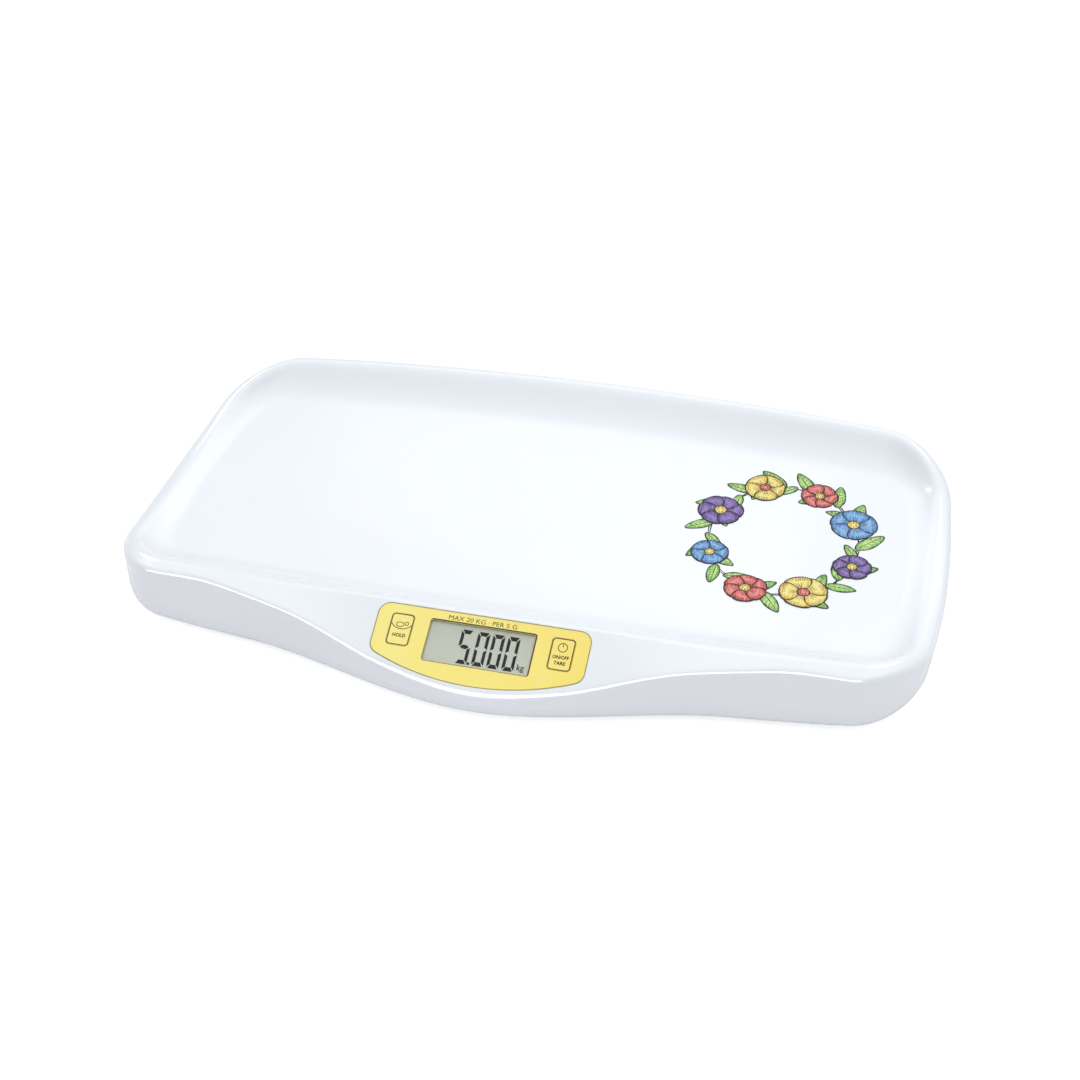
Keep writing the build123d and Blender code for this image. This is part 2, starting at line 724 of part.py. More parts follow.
# ---------------------------------------------------------------- tray shell
def make_tray():
    outer = body_solid(0) - dish_cutter(0)
    inner = body_solid(wall) - dish_cutter(wall)
    shell = outer - inner
    shell -= extrude(plan_face(lip_width, underside - 1), wall + 2)
    core = body_solid(wall / 2) - dish_cutter(wall / 2)
    for x, y in screw_places:
        shell += rod(x, y, floor_top, lid, boss_radius) & core
        shell -= rod(x, y, floor_top, underside + screw_length + 2.0, screw_radius + screw_fit)
    half_rib = rib_thickness / 2
    for x in cross_ribs:
        shell += block(x - half_rib, x + half_rib, rib_front, rib_back, rib_low, lid) & core
    for y in long_ribs:
        shell += block(-rib_reach, rib_reach, y - half_rib, y + half_rib, rib_low, lid) & core
    for x, y in board_posts():
        post = on_panel(rod(x, y, board_front, -wall / 2, board_post_radius))
        shell += post
        shell -= on_panel(rod(x, y, board_front, board_front + 4.5, board_screw_radius + screw_fit))
    shell -= on_panel(panel_prism(fit, pocket, 10))
    shell -= on_panel(window_block(lens_lap + fit, lens_bottom, pocket))
    shell -= on_panel(window_block(lcd_margin + slack, -2 * wall, pocket))
    for side in (-1, 1):
        shell -= on_panel(key_tablet(side, slack, -2 * wall, pocket))
    save("tray_cover", shell)


# ---------------------------------------------------------------- leads
lead_level = floor_top + lead_diameter / 2 + 0.1
cell_lead_level = cell_top + lead_diameter / 2


def lead(points, diameter):
    """A round lead along straight runs joined by arcs as large as the runs allow."""
    stops = [Vector(*point) for point in points]
    radii = []
    for before, here, after in zip(stops, stops[1:], stops[2:]):
        turn = radians((here - before).get_angle(after - here))
        radii.append(0.45 * min((here - before).length, (after - here).length) / tan(turn / 2))
    path = FilletPolyline(*stops, radius=radii)
    print("lead radii", [round(radius, 1) for radius in radii])
    start = Plane(origin=path @ 0, z_dir=path % 0)
    return sweep(start * Circle(diameter / 2), path=path)


def socket_end(index, x_shift):
    """The last two points of a lead that goes into a socket on the back of the board."""
    face = board_back - socket_size[2]
    ends = [panel_plane.from_local_coords(Vector(socket_places[index] + x_shift, socket_y, depth))
            for depth in (face - 10.0, face)]
    return [(end.X, end.Y, end.Z) for end in ends]


def front_lead(side):
    y = foot_front_y + gauge_offset
    low = lead_level
    route = [(foot_x - gauge_size / 2, y, cell_lead_level), (166, y, cell_lead_level),
             (148, y - 7, low + 0.8), (112, y - 19, low), (76, y - 36, low), (51, y - 53, low + 2)]
    return [(side * x, py, pz) for x, py, pz in route] + socket_end(side + 1, side * 2.6)


def back_lead(side):
    y = foot_back_y + gauge_offset
    low = lead_level
    route = [(foot_x - gauge_size / 2, y, cell_lead_level), (166, y, cell_lead_level),
             (148, y - 7, low + 0.8), (112, y - 19, low), (74, y - 34, low), (48, y - 60, low),
             (40, y - 96, low), (38.5, y - 134, low), (35, y - 171, low), (31.5, y - 201, low + 2)]
    return [(side * x, py, pz) for x, py, pz in route] + socket_end(side + 1, -side * 2.6)


def battery_lead(side):
    y = cell_rows()[0][0]
    low = floor_top + battery_lead_diameter / 2 + 0.1
    route = [(box_half_x, y, cell_axis), (box_half_x + 5, y, cell_axis),
             (box_half_x + 7.5, y - 7, cell_axis - 2.4), (28, y - 22, low), (21, y - 50, low),
             (11, y - 78, low), (3, y - 102, low + 1.5)]
    shifted = [(battery_x + side * x, py, pz) for x, py, pz in route]
    return shifted + socket_end(1, side * 2.0)


def make_leads():
    for side, name in ((-1, "left"), (1, "right")):
        save(f"{name}_front_lead", lead(front_lead(side), lead_diameter))
        save(f"{name}_back_lead", lead(back_lead(side), lead_diameter))
    save("battery_lead_black", lead(battery_lead(-1), battery_lead_diameter))
    save("battery_lead_red", lead(battery_lead(1), battery_lead_diameter))


def lead_clip(route, index, diameter):
    """A clip on the base plate half way along one run of a lead."""
    before, after = Vector(*route[index]), Vector(*route[index + 1])
    middle = (before + after) * 0.5
    across = Plane(origin=(middle.X, middle.Y, middle.Z), z_dir=after - before, x_dir=(0, 0, 1))
    down = middle.Z - floor_top
    cheek = block(-down - 0.2, diameter / 2 + 0.2, -diameter / 2 - 1.4, diameter / 2 + 1.4, -2, 2)
    channel = rod(0, 0, -3, 3, diameter / 2 + 0.1)
    channel += block(0, diameter, -diameter / 2 + 0.2, diameter / 2 - 0.2, -3, 3)
    return across.location * (cheek - channel)


make_display()
make_keys()
make_main_board()
make_feet()
make_batteries()
make_door()
make_unit_button()
make_housing_screws()
make_leads()
make_base()
make_tray()
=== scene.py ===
import random
from math import cos, hypot, pi, radians, sin, tan

import bmesh
import bpy
from bpy.props import FloatProperty, FloatVectorProperty, IntProperty, PointerProperty, StringProperty
from mathutils import Euler, Matrix, Vector
from mathutils.bvhtree import BVHTree


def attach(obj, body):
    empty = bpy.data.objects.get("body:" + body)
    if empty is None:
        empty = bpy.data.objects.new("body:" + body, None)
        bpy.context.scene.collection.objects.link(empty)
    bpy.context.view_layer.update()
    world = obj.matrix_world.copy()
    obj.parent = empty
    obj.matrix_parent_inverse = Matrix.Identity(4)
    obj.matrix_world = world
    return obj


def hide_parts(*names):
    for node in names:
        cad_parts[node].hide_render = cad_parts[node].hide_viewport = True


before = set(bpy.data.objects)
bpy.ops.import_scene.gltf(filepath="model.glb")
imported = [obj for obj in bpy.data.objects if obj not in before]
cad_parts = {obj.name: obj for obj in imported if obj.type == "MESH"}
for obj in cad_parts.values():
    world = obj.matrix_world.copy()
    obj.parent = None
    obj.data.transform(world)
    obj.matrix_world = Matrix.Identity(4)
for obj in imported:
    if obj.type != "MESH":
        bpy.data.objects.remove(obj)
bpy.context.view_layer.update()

bl_info = {
    "name": "Baby weighing scale",
    "version": (1, 0, 0),
    "blender": (4, 5, 0),
    "location": "3D View > Sidebar > Scale",
    "description": "Dresses the packed weighing scale and sets up its studio",
    "category": "Object",
}

MM = 0.001


# ------------------------------------------------------------------ sizes and colours
def size(name, millimetres, text):
    return FloatProperty(name=name, description=text, default=millimetres * MM,
                         unit="LENGTH", subtype="DISTANCE", precision=4)


def share(name, value, text):
    return FloatProperty(name=name, description=text, default=value)


def colour(name, red, green, blue, text):
    return FloatVectorProperty(name=name, description=text, default=(red, green, blue),
                               subtype="COLOR", min=0.0, max=1.0, size=3)


def angle(name, degrees, text):
    return FloatProperty(name=name, description=text, default=radians(degrees),
                         unit="ROTATION", subtype="ANGLE")


class BodySizes(bpy.types.PropertyGroup):
    length: size("Length", 550.0, "End to end")
    corner_depth: size("Corner depth", 257.0, "Front to back at the corners")
    side_bow: size("Side bow", 13.0, "How far the ends bow out at mid depth")
    back_bow: size("Back bow", 21.8, "How far the back bows out at mid length")
    front_bow: size("Front bow", 23.6, "How far the front wall bows out")
    crest_bow: size("Crest bow", 10.7, "How far the front crest bows out")
    front_corner: size("Front corner radius", 44.0, "Plan radius of the front corners")
    back_corner: size("Back corner radius", 51.0, "Plan radius of the back corners")
    bulge: size("Bulge", 23.7, "Extra depth of the front at the display")
    bulge_reach: size("Bulge reach", 159.0, "Half length over which the bulge fades out")
    display_x: size("Display place", -2.0, "Middle of the display and of the bulge")
    underside: size("Underside", 5.0, "Body above the floor")
    rim_height: size("Rim height", 45.0, "Crest of the rim above the floor")
    end_dip: size("End dip", 22.5, "How far the rim dips at mid depth of each end")
    rim_width: size("Rim width", 11.8, "Crest to outer wall")
    rim_drop: size("Rim drop", 3.0, "Fall of the rim's top towards the wall")
    crest_softness: size("Crest softness", 2.5, "Size of the crest's rounding at the panel")
    crest_roll: size("Crest roll", 5.5, "Size of the crest's rounding elsewhere")
    crease_softness: size("Crease softness", 5.0, "Size of the rounding between rim and wall")
    front_crease: size("Front crease", 3.2, "Size of that rounding along the front")
    base_rounding: size("Base rounding", 9.6, "Size of the rounding between wall and underside")
    front_flare: size("Front flare", 4.0, "How far the front wall leans out")
    end_tuck: size("End tuck", 1.4, "How far the end walls lean in")
    wall: size("Wall", 3.0, "Thickness of the shell")
    lip_width: size("Lip width", 14.0, "Underside of the shell up to the base plate")
    panel_angle: angle("Panel angle", 25.5, "Slope of the display panel")
    panel_flat: size("Panel flat", 60.0, "Half length over which the apron keeps that slope")
    apron_fade: size("Apron fade", 90.0, "Length over which the slope dies away")
    apron_end_slope: share("Apron end slope", 0.15, "Fall per length past the fade")
    shoulder_x: size("Shoulder place", 191.0, "The apron's two shoulders beside the bulge")
    shoulder_reach: size("Shoulder reach", 54.0, "Half length of a shoulder")
    shoulder_tuck: size("Shoulder tuck", 5.2, "How far the wall's top edge steps back there")
    dish_floor: size("Dish floor", 24.0, "Lowest point of the dish above the floor")
    dish_cup: size("Dish cup", 7.0, "Rise of the dish towards front and back")
    dish_fall: size("Dish fall", 1.0, "Fall of the dish towards the ends")
    dish_band: size("Dish band", 32.0, "Width of the curved band under the front and back crest")
    dish_end_band: size("Dish end band", 16.0, "The same at mid depth of each end")
    foot_spread: share("Foot spread", 1.19, "How much wider the softened band is")
    foot_power: share("Foot power", 2.4, "How gently the softened band runs into the dish")


class PanelSizes(bpy.types.PropertyGroup):
    width: size("Width", 137.4, "Width of the display panel")
    top: size("Top", 2.6, "Crest to the panel's top edge")
    side: size("Side", 33.0, "Length of the panel's straight sides")
    bottom: size("Bottom", 50.2, "Crest to the lowest point of the bottom curve")
    corner: size("Corner", 8.0, "Radius of the panel's corners")
    film: size("Film", 0.5, "Thickness of the printed film")
    film_sink: size("Film sink", 0.1, "How far the film lies below the apron")
    film_edge: size("Film edge", 0.08, "Radius of the film's edges")
    window_width: size("Window width", 67.3, "Width of the display window")
    window_height: size("Window height", 27.4, "Height of the display window")
    window_y: size("Window place", 23.7, "Crest to the middle of the window")
    window_corner: size("Window corner", 1.2, "Radius of the window's corners")
    lens: size("Lens", 1.0, "Thickness of the clear lens")
    lens_lap: size("Lens lap", 1.9, "How far the lens reaches under the film")
    lcd_margin: size("Glass margin", 0.3, "Display glass beyond the window")
    key_width: size("Key width", 14.6, "Width of a key")
    key_height: size("Key height", 21.3, "Height of a key")
    key_x: size("Key place across", 51.7, "Each key's middle from the panel's middle")
    key_y: size("Key place", 19.9, "Crest to the keys' middle")
    key_corner: size("Key corner", 2.5, "Radius of a key's corners")
    slack: size("Slack", 0.3, "Gap round a key")
    fit: size("Fit", 0.15, "Gap between pieces that are put together")
    # A dark line runs along the film just inside its edge.
    line: size("Line", 0.5, "Width of the film's printed outline")
    line_inset: size("Line inset", 0.1, "Edge of the film to its printed outline")
    border_line: size("Border line", 0.72, "Edge of the window to the outside of its printed border")
    # The border's outside shifts to the top right to paint a shadow along those edges.
    border_shade: size("Border shade", 0.28, "How far the border's outside lies to its top right")
    border_corner: size("Border corner", 1.9, "Radius of the border's outer corners")
    border_gap: size("Border gap", 0.09, "Edge of the window to the printed border")
    caption_x: size("Caption place across", -1.2, "Panel's middle to the caption's middle")
    caption_y: size("Caption place", 8.2, "Crest to the foot of the caption's capitals")
    caption_width: size("Caption width", 44.0, "Width of the words above the window")
    caption_height: size("Caption height", 3.1, "Height of the caption's capitals")
    key_line: size("Key line", 0.6, "Width of a key's printed frame")
    key_inset: size("Key inset", 0.12, "Edge of a key to its printed frame")
    word_height: size("Word height", 2.3, "Height of the capitals on the keys")
    word_weight: size("Word weight", 0.1, "How much the keys' letters are thickened")
    ink_rise: size("Ink rise", 0.015, "How far printed ink stands over the film")
    ink_root: size("Ink root", 0.03, "How far printed ink reaches into what it lies on")
    digit_width: size("Digit width", 7.7, "Width of a digit")
    digit_height: size("Digit height", 22.8, "Height of a digit")
    digit_pitch: size("Digit pitch", 9.65, "Left edge of a digit to the next one's")
    digits_left: size("Digits' left", -13.2, "Panel's middle to the first digit's left edge")
    digits_bottom: size("Digits' bottom", -35.6, "Crest to the digits' bottom")
    digit_rise: size("Digit rise", 0.04, "How far the number stands over the glass")
    point_width: size("Point width", 1.6, "Width of the decimal point")
    point_height: size("Point height", 1.7, "Height of the decimal point")
    point_space: size("Point space", 0.95, "Next digit's place to the point, and that digit's shift")
    unit_x: size("Unit place across", 28.2, "Panel's middle to the middle of the unit")
    unit_y: size("Unit place", 34.0, "Crest to the foot of the unit's letters")
    unit_height: size("Unit height", 4.2, "Height that the unit's capitals would have")
    unit_width: size("Unit width", 4.6, "Width of the unit")
    unit_weight: size("Unit weight", 0.07, "How much the unit's letters are thickened")
    reading: StringProperty(name="Reading", description="Number that the display shows",
                            default="5.000")
    caption: StringProperty(name="Caption", description="Words above the window",
                            default="MAX 20 KG · PER 5 G")


class PrintSizes(bpy.types.PropertyGroup):
    place: FloatVectorProperty(name="Place", description="Middle of the printed wreath",
                               default=(163 * MM, 27 * MM), size=2, subtype="TRANSLATION")
    half_width: size("Half width", 50.0, "Middle of the wreath to its ring, along the tray")
    half_depth: size("Half depth", 58.0, "Middle of the wreath to its ring, across the tray")
    ink_line: size("Ink line", 0.9, "Width of the drawn outlines")
    flowers: IntProperty(name="Flowers", description="Flowers on the wreath", default=8, min=3)
    leaves: IntProperty(name="Leaves", description="Leaves on the wreath", default=30, min=3)
    seed: IntProperty(name="Seed", description="Start of the random sizes", default=11)


class ScaleColours(bpy.types.PropertyGroup):
    white: colour("White", 0.855, 0.87, 0.905, "Glossy tray plastic")
    door: colour("Door", 0.80, 0.81, 0.84, "Textured plastic of the battery door")
    foot: colour("Foot", 0.60, 0.61, 0.63, "Plastic of the feet")
    yellow: colour("Yellow", 0.99, 0.78, 0.15, "Printed panel film")
    # The film fades to this paler yellow towards the panel's left.
    yellow_light: colour("Light yellow", 0.99, 0.84, 0.235, "Panel film where the print is thinner")
    # Colour of the dark line along the film's edge.
    outline: colour("Outline", 0.20, 0.195, 0.13, "Printed lines on the panel")
    glass: colour("Glass", 0.66, 0.685, 0.57, "Display glass")
    # Colour of the printed border and of the painted shadow at its top and right.
    border: colour("Border", 0.055, 0.045, 0.03, "Border of the display window")
    segments: colour("Segments", 0.014, 0.012, 0.011, "Segments of the number")
    ink: colour("Ink", 0.022, 0.018, 0.016, "Drawn lines of the tray print")
    green: colour("Green", 0.17, 0.44, 0.07, "Leaves, at the edge")
    red: colour("Red", 0.55, 0.05, 0.05, "Flowers, at the edge")
    blue: colour("Blue", 0.05, 0.20, 0.50, "Flowers, at the edge")
    purple: colour("Purple", 0.10, 0.05, 0.25, "Flowers, at the edge")
    gold: colour("Gold", 0.75, 0.49, 0.07, "Flowers and the flowers' eyes, at the edge")
    light_green: colour("Light green", 0.56, 0.80, 0.27, "Leaves, in the middle")
    light_red: colour("Light red", 0.84, 0.27, 0.23, "Flowers, in the middle")
    light_blue: colour("Light blue", 0.25, 0.48, 0.77, "Flowers, in the middle")
    light_purple: colour("Light purple", 0.29, 0.20, 0.49, "Flowers, in the middle")
    light_gold: colour("Light gold", 0.90, 0.78, 0.26, "Flowers and their eyes, in the middle")


class StudioSettings(bpy.types.PropertyGroup):
    camera_place: FloatVectorProperty(name="Camera place", description="Where the camera stands",
                                      default=(0.243177, -0.866185, 0.725332), size=3,
                                      subtype="TRANSLATION", precision=5)
    camera_turn: FloatVectorProperty(name="Camera turn", description="How the camera is turned",
                                     default=(radians(51.73938), radians(1.29394),
                                              radians(14.54464)), size=3, subtype="EULER")
    camera_lens: FloatProperty(name="Camera lens", description="Focal length", default=55.94)
    sky: share("Sky", 0.60, "Strength of the room's light")
    sky_bright: share("Bright sky", 1.90, "Strength of the room's light at its brightest")
    sky_sides: share("Dark sides", 1.6, "How much the room darkens towards the ends")
    sky_place: FloatVectorProperty(name="Bright place", description="Where the room is brightest",
                                   default=(0.1, 0.35, 0.93), size=3)
    floor_glow: share("Floor glow", 0.62, "Light that the floor adds where it is seen")
    strip: FloatProperty(name="Strip", description="Power of the lamp over the front crease",
                         default=55.0, unit="POWER")
    back: FloatProperty(name="Back", description="Power of the lamp that shines in the dish",
                        default=2.5, unit="POWER")
    side: FloatProperty(name="Side", description="Power of each lamp over an end's crest",
                        default=10.0, unit="POWER")


class ScaleSettings(bpy.types.PropertyGroup):
    body: PointerProperty(type=BodySizes, name="Body", description="Sizes of the body")
    panel: PointerProperty(type=PanelSizes, name="Panel", description="Sizes of the panel")
    wreath: PointerProperty(type=PrintSizes, name="Print", description="Sizes of the tray print")
    colours: PointerProperty(type=ScaleColours, name="Colours", description="Colours")
    studio: PointerProperty(type=StudioSettings, name="Studio", description="Camera and light")


def settings():
    return bpy.context.scene.weighing_scale


# ------------------------------------------------------------------ finishes
def add_node(tree, kind, inputs=(), **values):
    """A node whose inputs are given as (index or name, value or socket) pairs."""
    node = tree.nodes.new(kind)
    for key, value in values.items():
        setattr(node, key, value)
    for key, value in inputs:
        if isinstance(value, bpy.types.NodeSocket):
            tree.links.new(value, node.inputs[key])
        else:
            node.inputs[key].default_value = value
    return node


class Finish:
    """The nodes of one finish, with a principled shader at the end."""

    def __init__(self, name, roughness=0.4, metallic=0.0, coat=0.0, specular=0.5):
        self.material = bpy.data.materials.new(name)
        self.material.use_nodes = True
        self.tree = self.material.node_tree
        self.tree.nodes.clear()
        self.shader = self.node("ShaderNodeBsdfPrincipled", [
            ("Roughness", roughness), ("Metallic", metallic), ("Coat Weight", coat),
            ("Specular IOR Level", specular)])
        self.output = self.node("ShaderNodeOutputMaterial",
                                [("Surface", self.shader.outputs["BSDF"])])
        self.height = None

    def node(self, kind, inputs=(), **values):
        return add_node(self.tree, kind, inputs, **values)

    def place(self, stretch=(1, 1, 1), turn=(0, 0, 0)):
        """Coordinates on the piece, stretched and turned."""
        source = self.node("ShaderNodeTexCoord").outputs["Object"]
        return self.node("ShaderNodeMapping", [("Vector", source), ("Scale", stretch),
                                               ("Rotation", turn)]).outputs["Vector"]

    def grain(self, grain_size, detail=2.0, stretch=(1, 1, 1), turn=(0, 0, 0)):
        """Noise whose grains are about grain_size across."""
        noise = self.node("ShaderNodeTexNoise", [("Vector", self.place(stretch, turn)),
                                                 ("Scale", 1 / grain_size), ("Detail", detail)])
        return noise.outputs["Fac"]

    def spread(self, value, low, high, start=0.3, end=0.7):
        """value's range from start to end, spread over low to high."""
        return self.node("ShaderNodeMapRange", [("Value", value), ("From Min", start),
                                                ("From Max", end), ("To Min", low),
                                                ("To Max", high)]).outputs["Result"]

    def blend(self, factor, first, second):
        """Two colours mixed by a factor; each is a colour or a socket."""
        first, second = [value if isinstance(value, bpy.types.NodeSocket) else (*value[:3], 1.0)
                         for value in (first, second)]
        return self.node("ShaderNodeMix", [(0, factor), (6, first), (7, second)],
                         data_type="RGBA").outputs[2]

    def maths(self, operation, first, second=0.5):
        return self.node("ShaderNodeMath", [(0, first), (1, second)],
                         operation=operation).outputs[0]

    def paint(self, socket):
        self.tree.links.new(socket, self.shader.inputs["Base Color"])

    def rough(self, socket):
        self.tree.links.new(socket, self.shader.inputs["Roughness"])

    def relief(self, height, depth, strength=0.5):
        """Bump from a height socket; further calls add to it."""
        bump = self.node("ShaderNodeBump", [("Height", height), ("Distance", depth),
                                            ("Strength", strength)])
        if self.height:
            self.tree.links.new(self.height, bump.inputs["Normal"])
        self.height = bump.outputs["Normal"]
        self.tree.links.new(self.height, self.shader.inputs["Normal"])


def tint(rgb, factor):
    return tuple(min(1.0, channel * factor) for channel in rgb)


def moulded_plastic(name, rgb, roughness, ripple, texture, coat=0.0, fleck=0.97):
    """Moulded plastic: slow ripple of the tool, fine texture, faint rubbing."""
    made = Finish(name, coat=coat)
    cloud = made.grain(90 * MM, 3.0)
    made.paint(made.blend(made.spread(cloud, 0, 1), tint(rgb, fleck), rgb))
    rubbing = made.grain(1.6 * MM, 4.0, stretch=(1.0, 0.12, 1.0), turn=(0, 0, 0.6))
    made.rough(made.maths("ADD", made.spread(rubbing, roughness * 0.95, roughness * 1.1),
                          made.spread(cloud, -0.02, 0.03)))
    made.relief(made.grain(7 * MM, 1.0), ripple, 0.3)
    made.relief(made.grain(0.35 * MM, 2.0), texture, 0.4)
    return made.material


def rubber(name, rgb):
    made = Finish(name, specular=0.3)
    dust = made.grain(2.5 * MM, 5.0)
    made.paint(made.blend(made.spread(dust, 0, 1, 0.35, 0.8), rgb, tint(rgb, 1.7)))
    made.rough(made.spread(dust, 0.72, 0.9))
    made.relief(made.grain(0.25 * MM, 3.0), 0.03 * MM, 0.6)
    return made.material


def sheet_metal(name, rgb, roughness):
    """Rolled and plated metal with its rolling lines."""
    made = Finish(name, metallic=1.0)
    lines = made.grain(0.8 * MM, 3.0, stretch=(1, 14, 1))
    cloud = made.grain(6 * MM, 3.0)
    made.paint(made.blend(made.spread(cloud, 0, 1), tint(rgb, 0.82), rgb))
    made.rough(made.spread(lines, roughness - 0.08, roughness + 0.12))
    made.relief(lines, 0.01 * MM, 0.4)
    return made.material


def circuit_board(name, rgb):
    """Solder mask over tracks that run along and across the board."""
    made = Finish(name, coat=0.4)
    along = made.grain(3.0 * MM, 0.0, stretch=(0.12, 1, 1))
    across = made.grain(3.0 * MM, 0.0, stretch=(1, 0.12, 1))
    track = made.maths("MAXIMUM", made.spread(along, 0, 1, 0.53, 0.55),
                       made.spread(across, 0, 1, 0.57, 0.59))
    made.paint(made.blend(track, rgb, tint(rgb, 1.8)))
    made.rough(made.spread(made.grain(1.0 * MM), 0.25, 0.4))
    made.relief(track, 0.03 * MM, 0.6)
    return made.material


def cell_sleeve(name, rgb):
    """Printed sleeve of a cell, with bands along it."""
    made = Finish(name, coat=0.5)
    band = made.node("ShaderNodeTexWave", [("Vector", made.place()), ("Scale", 14.0),
                                           ("Distortion", 0.0)], bands_direction="X").outputs["Fac"]
    made.paint(made.blend(made.spread(band, 0, 1, 0.48, 0.5), rgb, (0.62, 0.62, 0.60)))
    made.rough(made.spread(made.grain(1.5 * MM), 0.22, 0.34))
    made.relief(made.grain(2 * MM), 0.02 * MM, 0.3)
    return made.material


def panel_film(name, rgb, light):
    """Printed yellow film: ink lies a little unevenly, the face is finely embossed."""
    made = Finish(name)
    left_right = made.node("ShaderNodeSeparateXYZ", [("Vector", made.place())]).outputs["X"]
    # Paler towards the panel's left, full yellow at its right.
    fall = made.spread(left_right, 1, 0, -70 * MM, 70 * MM)
    cloud = made.spread(made.grain(25 * MM, 3.0), -0.25, 0.25)
    factor = made.node("ShaderNodeClamp", [("Value", made.maths("ADD", fall, cloud))])
    made.paint(made.blend(factor.outputs[0], rgb, light))
    made.rough(made.spread(made.grain(0.5 * MM, 3.0), 0.3, 0.42))
    made.relief(made.grain(0.22 * MM, 1.0), 0.012 * MM, 0.5)
    return made.material


def printed_ink(name, rgb, worn=1.5):
    """Screen-printed ink whose density varies a little."""
    made = Finish(name, specular=0.12)
    dots = made.grain(0.5 * MM, 3.0)
    made.paint(made.blend(made.spread(dots, 0, 1, 0.3, 0.8), rgb, tint(rgb, worn)))
    made.rough(made.spread(dots, 0.38, 0.5))
    made.relief(dots, 0.008 * MM, 0.4)
    return made.material


def display_glass(name, rgb):
    """Grey-green display glass with a brushed reflector behind it."""
    made = Finish(name, coat=0.25)
    back = made.node("ShaderNodeSeparateXYZ", [("Vector", made.place())]).outputs["Y"]
    fall = made.spread(back, 0, 1, -160 * MM, -115 * MM)
    brushed = made.spread(made.grain(0.4 * MM, 2.0, stretch=(1, 0.05, 1)), -0.18, 0.18)
    made.paint(made.blend(made.maths("ADD", fall, brushed), tint(rgb, 1.1), tint(rgb, 0.93)))
    made.rough(made.spread(made.grain(0.3 * MM), 0.35, 0.45))
    made.relief(made.grain(0.2 * MM, 1.0), 0.005 * MM, 0.3)
    return made.material


def clear_lens(name):
    """Clear acrylic with faint hairlines and dust."""
    made = Finish(name, roughness=0.06, specular=0.3)
    made.material.surface_render_method = "BLENDED"
    made.shader.inputs["Alpha"].default_value = 0.06
    dust = made.grain(0.6 * MM, 4.0)
    made.paint(made.blend(made.spread(dust, 0, 1, 0.55, 0.8), (0.12, 0.13, 0.12),
                          (0.40, 0.40, 0.38)))
    made.rough(made.spread(made.grain(1.2 * MM, 4.0, stretch=(1, 0.1, 1)), 0.04, 0.12))
    made.relief(made.grain(3 * MM), 0.004 * MM, 0.2)
    return made.material


def pencil_colour(name, rgb, light):
    """Coloured pencil: strokes in one direction, paler in the middle, darker at the edge."""
    made = Finish(name, specular=0.25)
    edge = made.node("ShaderNodeAttribute", attribute_name="edge").outputs["Fac"]
    strokes = made.grain(1.1 * MM, 2.0, stretch=(1.0, 0.16, 1.0), turn=(0, 0, 0.75))
    speckle = made.grain(0.45 * MM, 2.0)
    press = made.maths("ADD", made.spread(edge, -0.25, 0.75, 0, 1),
                       made.spread(strokes, -0.45, 0.55, 0.25, 0.75))
    press = made.maths("ADD", press, made.spread(speckle, -0.2, 0.2))
    middle = made.blend(made.node("ShaderNodeClamp", [("Value", press)]).outputs[0], light, rgb)
    deep = made.spread(made.maths("ADD", edge, made.spread(strokes, -0.2, 0.25)), 0, 0.8, 0.66, 1.1)
    made.paint(made.blend(deep, middle, tint(rgb, 0.5)))
    made.rough(made.spread(strokes, 0.3, 0.45))
    made.relief(speckle, 0.006 * MM, 0.3)
    return made.material


# ------------------------------------------------------------------ building pieces
def add_piece(name, mesh, material, body="scale"):
    """A finished piece in the scene, riding on its body."""
    piece = bpy.data.objects.new(name, mesh)
    bpy.context.scene.collection.objects.link(piece)
    if material:
        mesh.materials.clear()
        mesh.materials.append(material)
    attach(piece, body)
    return piece


def dress(material, *nodes):
    """Give carried-over nodes their finish."""
    for node in nodes:
        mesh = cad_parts[node].data
        mesh.materials.clear()
        mesh.materials.append(material)
        mesh.polygons.foreach_set("material_index", [0] * len(mesh.polygons))


def four(name):
    """The names of a piece that is there four times."""
    return [f"{name}_{i}" for i in (1, 2, 3, 4)]


def smooth_faces(mesh, sharp_from):
    """Shade a mesh smooth, save for the edges sharper than an angle."""
    mesh.polygons.foreach_set("use_smooth", [True] * len(mesh.polygons))
    mesh.set_sharp_from_angle(angle=sharp_from)
    mesh.update()


def weld(mesh, distance=0.0005 * MM):
    """Join the double points of a curve's mesh and turn its faces outwards."""
    work = bmesh.new()
    work.from_mesh(mesh)
    bmesh.ops.remove_doubles(work, verts=work.verts, dist=distance)
    bmesh.ops.recalc_face_normals(work, faces=work.faces)
    work.to_mesh(mesh)
    work.free()


def curve_mesh(curve, name):
    """The mesh that a curve or text makes."""
    holder = bpy.data.objects.new(name + "_curve", curve)
    bpy.context.scene.collection.objects.link(holder)
    evaluated = holder.evaluated_get(bpy.context.evaluated_depsgraph_get())
    mesh = bpy.data.meshes.new_from_object(evaluated)
    bpy.data.objects.remove(holder)
    mesh.name = name
    weld(mesh)
    return mesh


def flat_mesh(name, loops, low, high, rounding=0.0):
    """A flat solid between two heights; a loop inside another is a hole."""
    curve = bpy.data.curves.new(name, "CURVE")
    curve.dimensions = "2D"
    curve.fill_mode = "BOTH"
    curve.extrude = (high - low) / 2 - rounding
    curve.bevel_depth = rounding
    curve.bevel_resolution = 2
    curve.offset = -rounding
    for loop in loops:
        spline = curve.splines.new("POLY")
        spline.points.add(len(loop) - 1)
        for point, (x, y) in zip(spline.points, loop):
            point.co = (x, y, 0, 1)
        spline.use_cyclic_u = True
    mesh = curve_mesh(curve, name)
    mesh.transform(Matrix.Translation((0, 0, (low + high) / 2)))
    return mesh


